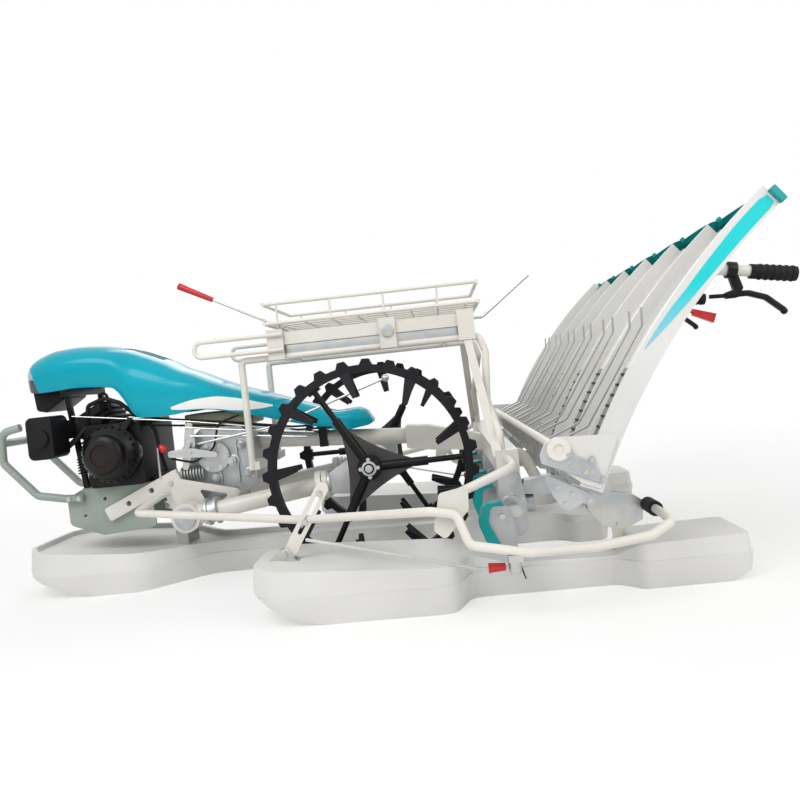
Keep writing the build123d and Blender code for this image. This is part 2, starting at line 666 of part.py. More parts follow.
def main_tube():
    """Upper backbone from the gearbox to the tool beam."""
    knee = (-120, 0, MAIN_TUBE_REAR_Z)
    back = tube([(GEARBOX_REAR_X + MAIN_TUBE_R, 0, MAIN_TUBE_FRONT_Z), knee], MAIN_TUBE_R)
    back = back - transmission()
    front_face = BEAM_X + BEAM_SIZE / 2
    box = side_plate([
        (-70, MAIN_TUBE_REAR_Z + 40, 8), (-150, MAIN_TUBE_REAR_Z + 32, 8), (front_face, BEAM_Z + 26, 4),
        (front_face, BEAM_Z - 26, 4), (-160, MAIN_TUBE_REAR_Z - 50, 8), (-70, MAIN_TUBE_REAR_Z - 36, 8)], -44, 44)
    return back.fuse(box)


def beam_bar():
    """The square cross beam itself."""
    half = BEAM_SIZE / 2
    return block(BEAM_X - half, BEAM_X + half, -BEAM_HALF_LENGTH, BEAM_HALF_LENGTH, BEAM_Z - half, BEAM_Z + half)


def tool_beam():
    """Cross beam with the outriggers that carry the guard tubes."""
    beam = beam_bar()
    y = GUARD_PLATE_Y - GUARD_TUBE_R
    arm = tube([
        (BEAM_X, BEAM_HALF_LENGTH - 10, BEAM_Z + 6), (BEAM_X, y, BEAM_Z + 6),
        (-214, y, 300)], GUARD_TUBE_R, 30)
    plate = side_plate([(-170, 306, 10), (-240, 318, 10), (-236, 262, 10), (-176, 196, 12), (-150, 220, 12)],
                       GUARD_PLATE_Y - 2, GUARD_PLATE_Y + SHEET)
    return beam.fuse(arm, mirrored(arm), plate, mirrored(plate))


def guard(side):
    """Tube guard: round the wheel, past the plate and round the outer planting arm."""
    y = GUARD_PLATE_Y + SHEET + GUARD_TUBE_R
    points = [
        (716, GUSSET_Y + SHEET, 292), (716, 214, 292), (752, 352, 262), (208, 600, 236), (-146, y, 268),
        (-206, y, 256), (-230, y + 24, 186), (-361, y + 40, 160), (-518, y + 40, 160), (-640, y + 30, 172),
        (-698, y - 10, 190), (-700, 760, 196), (-700, 700, 196)]
    rail = tube(points, GUARD_TUBE_R, 24)
    return rail if side > 0 else mirrored(rail)


def bumper_sleeves():
    """Rubber sleeves on the ends of the guard tubes."""
    sleeve = disc(-700, 196, GUARD_TUBE_R + 8, 628, 700)
    return both(sleeve)


def planting_cases():
    """Three cast cases under the beam, each with a shaft to its two planting arms."""
    cases = []
    for y in CASE_YS:
        under = BEAM_Z - BEAM_SIZE / 2
        body = side_plate([
            (CRANK_AXIS_X + 28, under, 6), (CRANK_AXIS_X + 34, CRANK_AXIS_Z - 20, 30),
            (CRANK_AXIS_X + 6, 146, 20), (CRANK_AXIS_X - 34, 150, 20),
            (CRANK_AXIS_X - 40, CRANK_AXIS_Z, 24), (CRANK_AXIS_X - 28, under, 6)],
            y - CASE_WIDTH / 2, y + CASE_WIDTH / 2)
        tail = Pos(CRANK_AXIS_X - 44, y, CRANK_AXIS_Z - 2) * Rot(0, 90, 0) * Cylinder(24, 36)
        hub = disc(CRANK_AXIS_X, CRANK_AXIS_Z, CASE_R - 6, y - CASE_WIDTH / 2 - 14, y + CASE_WIDTH / 2 + 14)
        case = body.fuse(tail, hub)
        bore = disc(CRANK_AXIS_X, CRANK_AXIS_Z, CRANK_SHAFT_R + SHAFT_FIT, y - CASE_WIDTH, y + CASE_WIDTH)
        cases.append(case - bore)
    return group(cases)


def row_ys():
    return [(i - (LANE_COUNT - 1) / 2) * ROW_PITCH for i in range(LANE_COUNT)]


def planter_cranks():
    """A shaft through each case, with a crank and pin at each end."""
    shafts = []
    gap = ROW_PITCH / 2 - ARM_PLATE_THICK / 2 - COVER_THICK - CRANK_GAP
    pin_reach = ROW_PITCH / 2 + ARM_PLATE_THICK / 2 + CRANK_PLATE_THICK
    for y in CASE_YS:
        shaft = disc(CRANK_AXIS_X, CRANK_AXIS_Z, CRANK_SHAFT_R, y - gap, y + gap)
        parts = []
        for side in (-1, 1):
            face = y + side * gap
            web = side_plate([
                (CRANK_AXIS_X - 18, CRANK_AXIS_Z - 16, 14), (CRANK_AXIS_X - 18, CRANK_AXIS_Z + 16, 14),
                (CRANK_AXIS_X + CRANK_THROW + 14, CRANK_AXIS_Z + 12, 10),
                (CRANK_AXIS_X + CRANK_THROW + 14, CRANK_AXIS_Z - 12, 10)],
                face - side * CRANK_PLATE_THICK, face)
            pin = disc(CRANK_AXIS_X + CRANK_THROW, CRANK_AXIS_Z, CRANK_PIN_R,
                       face, y + side * pin_reach)
            parts += [web, pin]
        shafts.append(shaft.fuse(*parts))
    return group(shafts)


def planter_arm_outline():
    """Side view of a planting arm."""
    pin_x = CRANK_AXIS_X + CRANK_THROW
    return outline([
        (pin_x - 20, CRANK_AXIS_Z + 24, 14), (pin_x + 26, CRANK_AXIS_Z + 28, 16),
        (pin_x + 34, CRANK_AXIS_Z - 12, 20), (pin_x + 6, 152, 8), (pin_x - 28, 140, 8),
        (pin_x - 34, 176, 12)])


def planter_arms():
    """Six planting arms, each bored for its crank pin."""
    arms = []
    pin_x = CRANK_AXIS_X + CRANK_THROW
    for y in row_ys():
        body = side_slab(planter_arm_outline(), y - ARM_PLATE_THICK / 2, y + ARM_PLATE_THICK / 2)
        bore = disc(pin_x, CRANK_AXIS_Z, CRANK_PIN_R + SHAFT_FIT, y - 60, y + 60)
        arms.append(body - bore)
    return group(arms)


def planter_covers():
    """Coloured cover on the front of each planting arm."""
    covers = []
    pin_x = CRANK_AXIS_X + CRANK_THROW
    face = outline([
        (pin_x - 6, CRANK_AXIS_Z + 22, 0), (pin_x - 6, CRANK_AXIS_Z + 38, 10),
        (pin_x + 44, CRANK_AXIS_Z + 32, 20),
        (pin_x + 58, CRANK_AXIS_Z - 14, 24), (pin_x + 34, 140, 8), (pin_x + 2, 148, 0)])
    face = face - planter_arm_outline()
    for y in row_ys():
        reach = ARM_PLATE_THICK / 2 + COVER_THICK
        covers.append(side_slab(face, y - reach, y + reach))
    return group(covers)


def planter_forks():
    """Fork and pusher boot below each planting arm."""
    forks = []
    pin_x = CRANK_AXIS_X + CRANK_THROW
    for y in row_ys():
        boot = bar((pin_x - 20, y, 146), (pin_x - 32, y, 108), (24, 24), (14, 14))
        tines = [bar((pin_x - 26, y + side * 7, 128), (pin_x - 44, y + side * 7, 66), (6, 4), (3, 3))
                 for side in (-1, 1)]
        forks.append(boot.fuse(*tines))
    return group(forks) - planter_arms()


# ---------------------------------------------------------------- platform

def platform_point(radius, angle):
    """A point in side view, from the distance to the tray's centre of curvature and an angle."""
    foot = math.radians(PLATFORM_FOOT_ANGLE)
    centre_x = PLATFORM_FOOT_X - PLATFORM_R * math.cos(foot)
    centre_z = PLATFORM_FOOT_Z - PLATFORM_R * math.sin(foot)
    turn = math.radians(angle)
    return centre_x + radius * math.cos(turn), centre_z + radius * math.sin(turn)


def platform_band(near, far, low, high, y0, y1):
    """A curved plate between two radii and two angles of the tray."""
    middle = (low + high) / 2
    face = make_face([
        ThreePointArc(platform_point(near, low), platform_point(near, middle), platform_point(near, high)),
        Line(platform_point(near, high), platform_point(far, high)),
        ThreePointArc(platform_point(far, high), platform_point(far, middle), platform_point(far, low)),
        Line(platform_point(far, low), platform_point(near, low))])
    plane = Plane(origin=(0, max(y0, y1), 0), x_dir=(1, 0, 0), z_dir=(0, -1, 0))
    return extrude(plane * face, amount=abs(y1 - y0))


PLATFORM_HALF = LANE_COUNT * ROW_PITCH / 2
TRAY_FACE_R = PLATFORM_R + TRAY_THICK


def platform_tray():
    """Curved sheet that the seedling mats lie on."""
    return platform_band(PLATFORM_R, TRAY_FACE_R, PLATFORM_FOOT_ANGLE, PLATFORM_TOP_ANGLE,
                         -PLATFORM_HALF, PLATFORM_HALF)


def platform_dividers():
    """Walls between the lanes."""
    walls = []
    for i in range(1, LANE_COUNT):
        y = -PLATFORM_HALF + i * ROW_PITCH
        walls.append(platform_band(TRAY_FACE_R, TRAY_FACE_R + DIVIDER_HEIGHT, PLATFORM_FOOT_ANGLE + 0.4,
                                   PLATFORM_TOP_ANGLE - 1.0, y - DIVIDER_THICK / 2, y + DIVIDER_THICK / 2))
    return group(walls)


def platform_sides():
    """Side walls of the platform, with the plates that carry the presser rail."""
    wall = platform_band(PLATFORM_R - 4, PLATFORM_R + SIDE_STRIP_DEPTH, PLATFORM_FOOT_ANGLE, PLATFORM_TOP_ANGLE,
                         PLATFORM_HALF, PLATFORM_HALF + SIDE_STRIP_THICK)
    x, z = RAIL_X, RAIL_Z
    bore = disc(x, z, RAIL_BORE_R, PLATFORM_HALF, 2 * PLATFORM_HALF)
    low = platform_point(PLATFORM_R + 4, PLATFORM_FOOT_ANGLE + 0.3)
    front = platform_point(PLATFORM_R + SIDE_STRIP_DEPTH, PLATFORM_FOOT_ANGLE + 0.3)
    high = platform_point(PLATFORM_R + 8, PLATFORM_FOOT_ANGLE + 5.0)
    outer = PLATFORM_HALF + SIDE_STRIP_THICK
    plate = side_plate([
        (low[0], low[1], 2), (front[0], front[1], 2), (x + 18, z - 30, 16), (x + 22, z + 18, 16),
        (x - 10, z + 26, 16), (high[0], high[1], 10)], outer, outer + SHEET)
    boss = disc(x, z, RAIL_BOSS_R, outer, outer + RAIL_BOSS_LENGTH)
    return both(wall.fuse(plate, boss) - bore)


RAIL_OUT = 121.0          # presser rail's distance from the tray's rear face
RAIL_ANGLE = 25.0
RAIL_X, RAIL_Z = platform_point(PLATFORM_R + RAIL_OUT, RAIL_ANGLE)
PRESSER_RAIL_R = 11.0
PRESSER_ROD_R = 3.0
PRESSER_ROD_OUT = 58.0    # each rod's distance from the middle of its lane
RAIL_BORE_R = 7.5
RAIL_BORE_DEPTH = 30.0
RAIL_BOSS_R = 27.0
RAIL_BOSS_LENGTH = 12.0
COMB_WIRE_R = 2.5
COMB_HALF = 8.0           # half the width of one loop of the comb
COMB_LOOPS = (14.0, 37.0, 79.0, 102.0, 125.0)   # loops' middles, out from the middle of the lane
COMB_FOOT_OUT = 95.0      # loops' lower ends, from the tray's rear face
COMB_FOOT_ANGLE = 23.3


def presser_rail():
    """Rail across the platform, between its side plates."""
    reach = PLATFORM_HALF + SIDE_STRIP_THICK
    bore = disc(RAIL_X, RAIL_Z, RAIL_BORE_R, reach - RAIL_BORE_DEPTH, reach)
    return disc(RAIL_X, RAIL_Z, PRESSER_RAIL_R, -reach, reach) - bore - mirrored(bore)


def comb_loop(y):
    """A wire loop that hangs from the rail in front of the gates."""
    x, z = platform_point(PLATFORM_R + COMB_FOOT_OUT, COMB_FOOT_ANGLE)
    points = [(RAIL_X, y - COMB_HALF, RAIL_Z - 4), (x, y - COMB_HALF, z), (x, y + COMB_HALF, z),
              (RAIL_X, y + COMB_HALF, RAIL_Z - 4)]
    return tube(points, COMB_WIRE_R, sides=WIRE_SIDES)


def presser_rods():
    """Two bent rods over each lane and a comb of wire loops below them, welded to the rail."""
    # radius beyond the tray's rear face, angle
    route = [(RAIL_OUT - 3, RAIL_ANGLE + 0.05), (56, 27.5), (50, 37.0), (74, 38.2)]
    rods = []
    rail = disc(RAIL_X, RAIL_Z, PRESSER_RAIL_R, -PLATFORM_HALF, PLATFORM_HALF)
    for y in row_ys():
        for side in (-1, 1):
            rods += [comb_loop(y + side * out) - rail for out in COMB_LOOPS]
            points = []
            for radius, angle in route:
                x, z = platform_point(PLATFORM_R + radius, angle)
                points.append((x, y + side * PRESSER_ROD_OUT, z))
            rods.append(tube(points, PRESSER_ROD_R, sides=WIRE_SIDES) - rail)
    return group(rods)


def feed_belts():
    """Ribbed feed belt in the lower half of each lane."""
    belts = []
    for y in row_ys():
        half = BELT_WIDTH / 2
        low = PLATFORM_FOOT_ANGLE + 1.2
        high = low + BELT_RIB_STEP * (BELT_RIBS + 0.6)
        belt = platform_band(TRAY_FACE_R, TRAY_FACE_R + BELT_THICK, low, high, y - half, y + half)
        ribs = []
        for i in range(BELT_RIBS):
            angle = low + BELT_RIB_STEP * (i + 0.6)
            ribs.append(platform_band(TRAY_FACE_R + 1, TRAY_FACE_R + BELT_THICK + BELT_RIB, angle, angle + 0.25,
                                      y - half + 4, y + half - 4))
        belts.append(belt.fuse(*ribs))
    return group(belts)


def platform_caps():
    """Coloured caps over the tops of the walls and the scalloped edge between them."""
    caps = []
    for i in range(LANE_COUNT + 1):
        y = -PLATFORM_HALF + i * ROW_PITCH
        shift = 0.0
        if i == 0:
            shift = -SIDE_STRIP_THICK / 2
        if i == LANE_COUNT:
            shift = SIDE_STRIP_THICK / 2
        caps.append(platform_band(PLATFORM_R - 8, TRAY_FACE_R + DIVIDER_HEIGHT + 6, PLATFORM_TOP_ANGLE,
                                  PLATFORM_TOP_ANGLE + 0.9, y + shift - 22, y + shift + 22))
    for y in row_ys():
        half = ROW_PITCH / 2 - 40
        caps.append(platform_band(PLATFORM_R - 2, TRAY_FACE_R + 8, PLATFORM_TOP_ANGLE, PLATFORM_TOP_ANGLE + 0.45,
                                  y - half, y + half))
    return group(caps)


GATE_THICK = 9.0


def gate_rail():
    """Fixed rail that the platform slides on, with a gate cut for each row."""
    drop = math.degrees(FIT / PLATFORM_R)
    depth = math.degrees(GATE_THICK / PLATFORM_R)
    top = PLATFORM_FOOT_ANGLE - drop
    rail = platform_band(PLATFORM_R - 14, PLATFORM_R + 66, top - depth, top, -PLATFORM_HALF, PLATFORM_HALF)
    for y in row_ys():
        rail = rail - platform_band(PLATFORM_R + 30, PLATFORM_R + 90, top - 4, top + 4, y - 17, y + 17)
    struts = []
    under = platform_point(PLATFORM_R + 10, top - depth)
    for y in CASE_YS:
        struts.append(side_plate([
            (under[0] - 18, under[1] - 4, 2), (under[0] + 30, under[1] + 14, 2),
            (CRANK_AXIS_X - 38, CRANK_AXIS_Z + 60, 6), (CRANK_AXIS_X - 30, CRANK_AXIS_Z + 26, 6),
            (under[0], under[1] - 40, 12)], y - 24, y + 24))
    struts = group(struts) - planting_cases()
    return rail.fuse(*struts.solids())


# ---------------------------------------------------------------- handles and rear frame

def handle_tube():
    """Left handle tube, from the beam under and up behind the platform to the grip."""
    back_r = PLATFORM_R - HANDLE_SETBACK
    lower = platform_point(back_r, PLATFORM_FOOT_ANGLE + 3)
    upper = platform_point(back_r, 45.5)
    start_x = BEAM_X - BEAM_SIZE / 2
    points = [
        (start_x, HANDLE_Y, BEAM_Z - 10), (start_x - 34, HANDLE_Y, BEAM_Z - 10),
        (-466, HANDLE_Y, 222), (-584, HANDLE_Y, 226), (lower[0] - 8, HANDLE_Y, lower[1]),
        (upper[0], HANDLE_Y, upper[1]), (KNEE_X, HANDLE_Y, KNEE_Z), (GRIP_END_X + 8, HANDLE_Y, GRIP_END_Z + 2)]
    return tube(points, HANDLE_TUBE_R, 34)


def rear_frame():
    """Both handle tubes with their cross tubes and the bar that the platform slides on."""
    back_r = PLATFORM_R - HANDLE_SETBACK
    rail = handle_tube()
    support_r = PLATFORM_R - FIT - 12
    x, z = platform_point(support_r, 41.0)
    roller = disc(x, z, 12, -HANDLE_Y - 160, HANDLE_Y + 160)
    x2, z2 = platform_point(back_r, 30.0)
    brace = disc(x2, z2, 12, -HANDLE_Y, HANDLE_Y)
    hangers = []
    for side in (-1, 1):
        x3, z3 = platform_point(back_r, 41.0)
        hangers.append(bar((x3 - 16, side * HANDLE_Y, z3 - 14), (x, side * HANDLE_Y, z), (20, 28), (16, 22)))
    return rail.fuse(mirrored(rail), roller, brace, *hangers)


HANDLE_SETBACK = 46.0     # handle tube's distance behind the tray
KNEE_X = -1020.0
KNEE_Z = 798.0
GRIP_END_X = -1236.0
GRIP_END_Z = 762.0
CLAMP_X = -1056.0
CLAMP_RIM = 8.0
CLAMP_LENGTH = 26.0
LEVER_HALF = 6.0          # half the thickness of the hand lever


def handle_grips():
    """Ribbed rubber grips on the ends of the handle tubes."""
    along = (Vector(KNEE_X, 0, KNEE_Z) - Vector(GRIP_END_X + 8, 0, GRIP_END_Z + 2)).normalized()
    plane = Plane(origin=(GRIP_END_X, HANDLE_Y, GRIP_END_Z), z_dir=along)
    grip = plane * Pos(0, 0, GRIP_LENGTH / 2) * Cylinder(GRIP_R, GRIP_LENGTH)
    rings = [plane * Pos(0, 0, 12 + i * 18) * Cylinder(GRIP_R + 2, 6) for i in range(6)]
    grip = grip.fuse(*rings)
    return both(grip - handle_tube())


def clutch_levers():
    """Hand lever with a ball end below each grip, on a clamp round the handle tube."""
    knee, end = Vector(KNEE_X, HANDLE_Y, KNEE_Z), Vector(GRIP_END_X, HANDLE_Y, GRIP_END_Z)
    middle = knee + (end - knee) * ((KNEE_X - CLAMP_X) / (KNEE_X - GRIP_END_X))
    clamp = Plane(origin=middle, z_dir=end - knee) * Cylinder(HANDLE_TUBE_R + CLAMP_RIM, CLAMP_LENGTH)
    # x, z, corner radius
    arm = side_plate([
        (-1046, 782, 4), (-1072, 778, 4), (-1084, 738, 8), (-1066, 712, 6), (-1034, 712, 4), (-1034, 730, 4),
        (-1058, 736, 6)], HANDLE_Y - 1.6 * LEVER_HALF, HANDLE_Y + 1.6 * LEVER_HALF)
    lever = side_plate([
        (-1050, 732, 4), (-1100, 730, 30), (-1150, 712, 30), (-1200, 668, 5), (-1190, 656, 5),
        (-1142, 698, 30), (-1096, 714, 30), (-1050, 714, 4)], HANDLE_Y - LEVER_HALF, HANDLE_Y + LEVER_HALF)
    ball = Pos(-1194, HANDLE_Y, 661) * Sphere(10)
    adjuster = tube([(-1040, HANDLE_Y, 721), (-990, HANDLE_Y, 723)], LEVER_HALF)
    return both(clamp.fuse(arm, lever, ball, adjuster) - handle_tube())


def red_levers():
    """Short coloured levers on the handle tubes."""
    x, z = platform_point(PLATFORM_R - HANDLE_SETBACK, 44.0)
    stem = tube([(x, HANDLE_Y, z), (-948, HANDLE_Y, 681)], 7)
    handle = bar((-940, HANDLE_Y, 684), (-998, HANDLE_Y, 661), (18, 16), (26, 18))
    return both(stem.fuse(handle) - handle_tube())


# ---------------------------------------------------------------- rack

def rack_frame():
    """Tube frame over the hood: two front legs, two long rails and splayed rear legs."""
    y = RACK_HALF_WIDTH
    front = tube([(RACK_FRONT_X, y, RACK_FOOT_Z), (RACK_FRONT_X, y, RACK_TUBE_Z), (RACK_REAR_X, y, RACK_TUBE_Z),
                  (-352, y + 8, 640), (-330, 400, 496), (BEAM_X + 10, 600, 412), (BEAM_X + 10, 600, BEAM_Z)],
                 RACK_TUBE_R, 16) - beam_bar()
    foot = block(GEARBOX_REAR_X - 34, GEARBOX_REAR_X, GEARBOX_HALF_WIDTH - 20, y + 8,
                 RACK_FOOT_Z, RACK_FOOT_Z + 26)
    cross = [tube([(x, -y, RACK_TUBE_Z), (x, y, RACK_TUBE_Z)], RACK_CROSS_R) for x in (300, -230)]
    strap = bar((-300, y + 4, 688), (-330, 648, BEAM_Z + 14), (24, 5), (24, 5)) - beam_bar()
    side = front.fuse(foot, strap, rack_loop())
    return side.fuse(mirrored(side), *cross)


def slide_plate_face():
    """Y of the outer face of the plates beside the left runner."""
    return RACK_HALF_WIDTH + RUNNER_WIDTH / 2 + SLIDE_GAP + SLIDE_PLATE_THICK


def rack_loop():
    """Left plates on the rack's rail, and the loop that reaches forward from them."""
    outer = slide_plate_face()
    parts = []
    for x in SLIDE_PLATE_XS:
        parts.append(block(x - SLIDE_PLATE_HALF, x + SLIDE_PLATE_HALF, outer - SLIDE_PLATE_THICK, outer,
                           RACK_TUBE_Z - 8, RUNNER_Z + RUNNER_HEIGHT + 10))
        parts.append(block(x - 10, x + 10, RACK_HALF_WIDTH, outer - 1, RACK_TUBE_Z - 6, RACK_TUBE_Z + 6))
    y = outer + LOOP_TUBE_R - 1
    start = SLIDE_PLATE_XS[0] - SLIDE_PLATE_HALF
    loop = tube([(start, y, LOOP_TOP_Z), (LOOP_REACH_X, y, LOOP_TOP_Z), (LOOP_REACH_X, y, LOOP_FOOT_Z),
                 (start, y, LOOP_FOOT_Z)], LOOP_TUBE_R, 22)
    return loop.fuse(*parts)


def rack_slides():
    """Galvanised rails on the rack that the basket runs on, and their guide rollers."""
    y = RACK_HALF_WIDTH
    top = RUNNER_Z - FIT
    rail = block(BASKET_REAR_X + 60, BASKET_FRONT_X - 40, y - 6, y + 6, RACK_TUBE_Z + RACK_TUBE_R - 4, top)
    outer = slide_plate_face()
    roller = disc(SLIDE_PLATE_XS[1], RUNNER_Z + 10, 20, outer, outer + 8)
    return group([both(rail) - rack_frame(), both(roller)])


RUNNER_Z = RACK_TUBE_Z + RACK_TUBE_R + RUNNER_RISE


def basket():
    """Wire basket for spare seedlings on its two runners."""
    half = BASKET_HALF_WIDTH
    front, rear = BASKET_FRONT_X, BASKET_REAR_X
    r = BASKET_RAIL_R
    parts = []
    for z in (BASKET_RAIL_Z, BASKET_FLOOR_Z):
        for y in (-half, half):
            parts.append(tube([(front, y, z), (rear, y, z)], r))
        for x in (front, rear):
            parts.append(tube([(x, -half - r, z), (x, half + r, z)], r))
    for i in range(LONG_WIRES):
        y = -half + (i + 0.5) * 2 * half / LONG_WIRES
        wire = [(front, y, BASKET_FLOOR_Z), (rear, y, BASKET_FLOOR_Z)]
        parts.append(tube(wire, BASKET_WIRE_R, sides=WIRE_SIDES))
    step = (front - rear) / CROSS_WIRES
    for i in range(CROSS_WIRES):
        x = rear + (i + 0.5) * step
        parts.append(tube([(x, -half, BASKET_FLOOR_Z - 4), (x, half, BASKET_FLOOR_Z - 4)], BASKET_WIRE_R,
                          sides=WIRE_SIDES))
        if i % 2:
            for y in (-half, half):
                post = [(x, y, BASKET_FLOOR_Z), (x, y, BASKET_RAIL_Z)]
                parts.append(tube(post, BASKET_WIRE_R, sides=WIRE_SIDES))
    for y in (-RACK_HALF_WIDTH, RACK_HALF_WIDTH):
        parts.append(block(rear + 30, front - 10, y - RUNNER_WIDTH / 2, y + RUNNER_WIDTH / 2,
                           RUNNER_Z, RUNNER_Z + RUNNER_HEIGHT))
        for x in (rear + step / 2, front - step / 2):
            parts.append(block(x - 8, x + 8, y - 3, y + 3, RUNNER_Z + RUNNER_HEIGHT - 2, BASKET_FLOOR_Z - 4))
    return parts[0].fuse(*parts[1:])


def front_rod_axis():
    """Upper and lower end of the rod that is stowed in the basket's front."""
    y = RACK_HALF_WIDTH
    rise = (STOWED_ROD_R + BASKET_RAIL_R + FIT) / math.cos(math.radians(STOWED_ROD_ANGLE))
    slope = math.tan(math.radians(STOWED_ROD_ANGLE))
    at_rail = BASKET_FLOOR_Z + rise
    high = (STOWED_ROD_TIP_X, y, at_rail + (STOWED_ROD_TIP_X - BASKET_FRONT_X) * slope)
    low_x = BASKET_FRONT_X - 84
    return high, (low_x, y, at_rail + (low_x - BASKET_FRONT_X) * slope)


STOWED_ROD_ANGLE = 27.8   # degrees that the stowed rod rises forward
STOWED_ROD_TIP_X = 588.0
STOWED_GRIP_LENGTH = 120.0
LONG_WIRES = 6


def basket_rods():
    """Marker rods stowed at the basket's ends."""
    high, low = front_rod_axis()
    y = RACK_HALF_WIDTH
    front = tube([high, low], STOWED_ROD_R) - basket()
    runner_mid = RUNNER_Z + RUNNER_HEIGHT / 2
    rear = tube([(BASKET_REAR_X + 40, y, runner_mid), (BASKET_REAR_X - 8, y, runner_mid),
                 (BASKET_REAR_X - 163, y, runner_mid + 115)], STOWED_ROD_R, 14) - basket()
    return group([front, rear])


def basket_rod_grip():
    """Coloured grip on the front rod."""
    high, low = front_rod_axis()
    along = (Vector(*low) - Vector(*high)).normalized()
    seat = Plane(origin=Vector(*high) - along * 6, z_dir=along)
    grip = seat * Pos(0, 0, STOWED_GRIP_LENGTH / 2) * Cone(11, 8, STOWED_GRIP_LENGTH)
    return fillet(grip.edges(), 3) - tube([high, low], STOWED_ROD_R)


# ---------------------------------------------------------------- small mechanisms

def marker(side):
    """Side marker arm folded along the float, with its hinge eye."""
    bore = Cylinder(MARKER_PIN_R + SHAFT_FIT, 2 * MARKER_EYE_HEIGHT)
    eye = Pos(MARKER_X, MARKER_Y, MARKER_Z) * (Cylinder(15, MARKER_EYE_HEIGHT) - bore)
    start = (MARKER_X + 13, MARKER_Y, MARKER_Z)
    tip = (MARKER_X + 483, MARKER_Y - 4, MARKER_Z + 106)
    rod = tube([start, (MARKER_X + 80, MARKER_Y, MARKER_Z), tip], 4, 20)
    arm = eye.fuse(rod)
    return arm if side > 0 else mirrored(arm)


def marker_grip(side):
    """Coloured grip on the marker arm."""
    start = Vector(MARKER_X + 22, MARKER_Y, MARKER_Z)
    axis = Vector(1, 0, 0)
    grip = Plane(origin=start, z_dir=axis) * Pos(0, 0, 20) * Cone(9, 12, 40)
    grip = grip - Plane(origin=start, z_dir=axis) * Cylinder(4, 200)
    return grip if side > 0 else mirrored(grip)




def marker_posts():
    """Zinc pin and bracket that each marker arm turns on, hung from the guard tube."""
    eye_top = MARKER_Z + MARKER_EYE_HEIGHT / 2 + FIT
    eye_foot = MARKER_Z - MARKER_EYE_HEIGHT / 2 - FIT
    plate_z = eye_top + MARKER_COLLAR
    at = Pos(MARKER_X, MARKER_Y, 0)
    pin = at * Pos(0, 0, (eye_foot + plate_z) / 2) * Cylinder(MARKER_PIN_R, plate_z - eye_foot + 4)
    head = at * Pos(0, 0, eye_foot - 3) * Cylinder(2 * MARKER_PIN_R, 6)
    collar = at * Pos(0, 0, eye_top + MARKER_COLLAR / 2) * Cylinder(MARKER_PIN_R + 3, MARKER_COLLAR)
    plate = block(MARKER_X - 16, MARKER_X + 16, MARKER_Y - 14, GUARD_PLATE_Y + SHEET + GUARD_TUBE_R + 46,
                  plate_z, plate_z + 16)
    post = pin.fuse(head, collar, plate) - guard(1)
    return both(post)


def float_links():
    """Slotted links and brackets that tie the floats to the frame."""
    y = 628.0
    link = bar((250, y, 140), (136, y, 318), (34, 5), (34, 5))
    bolt = disc(190, 237, 9, 614, y)
    base = block(226, 290, y - 14, y + 14, FLOAT_HEIGHT - 40, FLOAT_HEIGHT + 30)
    side = link.fuse(bolt, base) - side_float(1) - guard(1)
    front = block(700, 740, -60, 60, FLOAT_HEIGHT - 60, 262)
    cross = block(700, 740, -BED_HALF_WIDTH + SHEET, BED_HALF_WIDTH - SHEET, 236, 262)
    middle = front.fuse(cross) - centre_float() - transmission() - engine_bed()
    return group([side, mirrored(side), middle])


def rear_brackets():
    """Roller brackets behind the gate rail, the box they carry and the float's rear hanger."""
    box = block(-692, -540, 604, 628, 132, 240)
    link = bar((-600, 616, 236), (-560, 616, 300), (60, 20), (40, 20))
    hanger = block(-640, -600, 606, 626, 60, 140)
    side = box.fuse(link, hanger) - gate_rail() - side_float(1)
    return both(side)


def control_rods():
    """Long rods and their knob along the left of the hood."""
    long_rod = tube([(600, GEARBOX_HALF_WIDTH, 440), (600, 168, 440), (330, 176, 474), (-30, 176, 590)], 4, 10)
    knob = Pos(-30, 176, 590) * Sphere(12)
    return long_rod.fuse(knob)


def gear_levers():
    """Lever bank on the gearbox's left side: a stub, an upright lever and a level one."""
    face = GEARBOX_HALF_WIDTH
    x, z = LEVER_HUB_X, LEVER_HUB_Z
    stub = disc(x, z, 10, face, face + 62)
    upright = side_plate([(x - 16, z + 70, 9), (x + 6, z + 70, 9), (x + 18, z, 12), (x + 32, z - 80, 8),
                          (x + 14, z - 84, 8), (x - 20, z, 14)], face + 34, face + 34 + SHEET)
    level = side_plate([(x + 70, z - 16, 9), (x + 70, z - 36, 9), (x, z - 42, 6), (x - 92, z - 50, 8),
                        (x - 92, z - 34, 8), (x, z - 10, 6)], face + 48, face + 48 + SHEET)
    boss = disc(x, z - 26, 9, face + 34, face + 58)
    return stub.fuse(upright, level, boss) - transmission()


def nose_box():
    """Closed box below the hood's nose."""
    box = side_plate([(1170, 700, 4), (1160, 600, 12), (1128, 592, 12), (1060, 634, 14), (1052, 700, 4)], -84, 84)
    return box - hood_form()


def hood_stays():
    """Front arch on the engine bed and rear post on the backbone that carry the hood."""
    x = 1030.0
    legs = [bar((1000, s * 118, BED_TOP_Z - 6), (x, s * 128, 664), (16, 16), (16, 16)) for s in (-1, 1)]
    top = block(x - 12, x + 12, -148, 148, 640, 680)
    post = block(196, 224, -30, 30, 380, 486)
    wings = block(196, 224, -60, 60, 450, 486)
    arch = legs[0].fuse(legs[1], top) - hood_form() - engine_bed() - engine_block() - air_cleaner()
    rear = post.fuse(wings) - hood_form() - main_tube()
    return group([arch, rear])


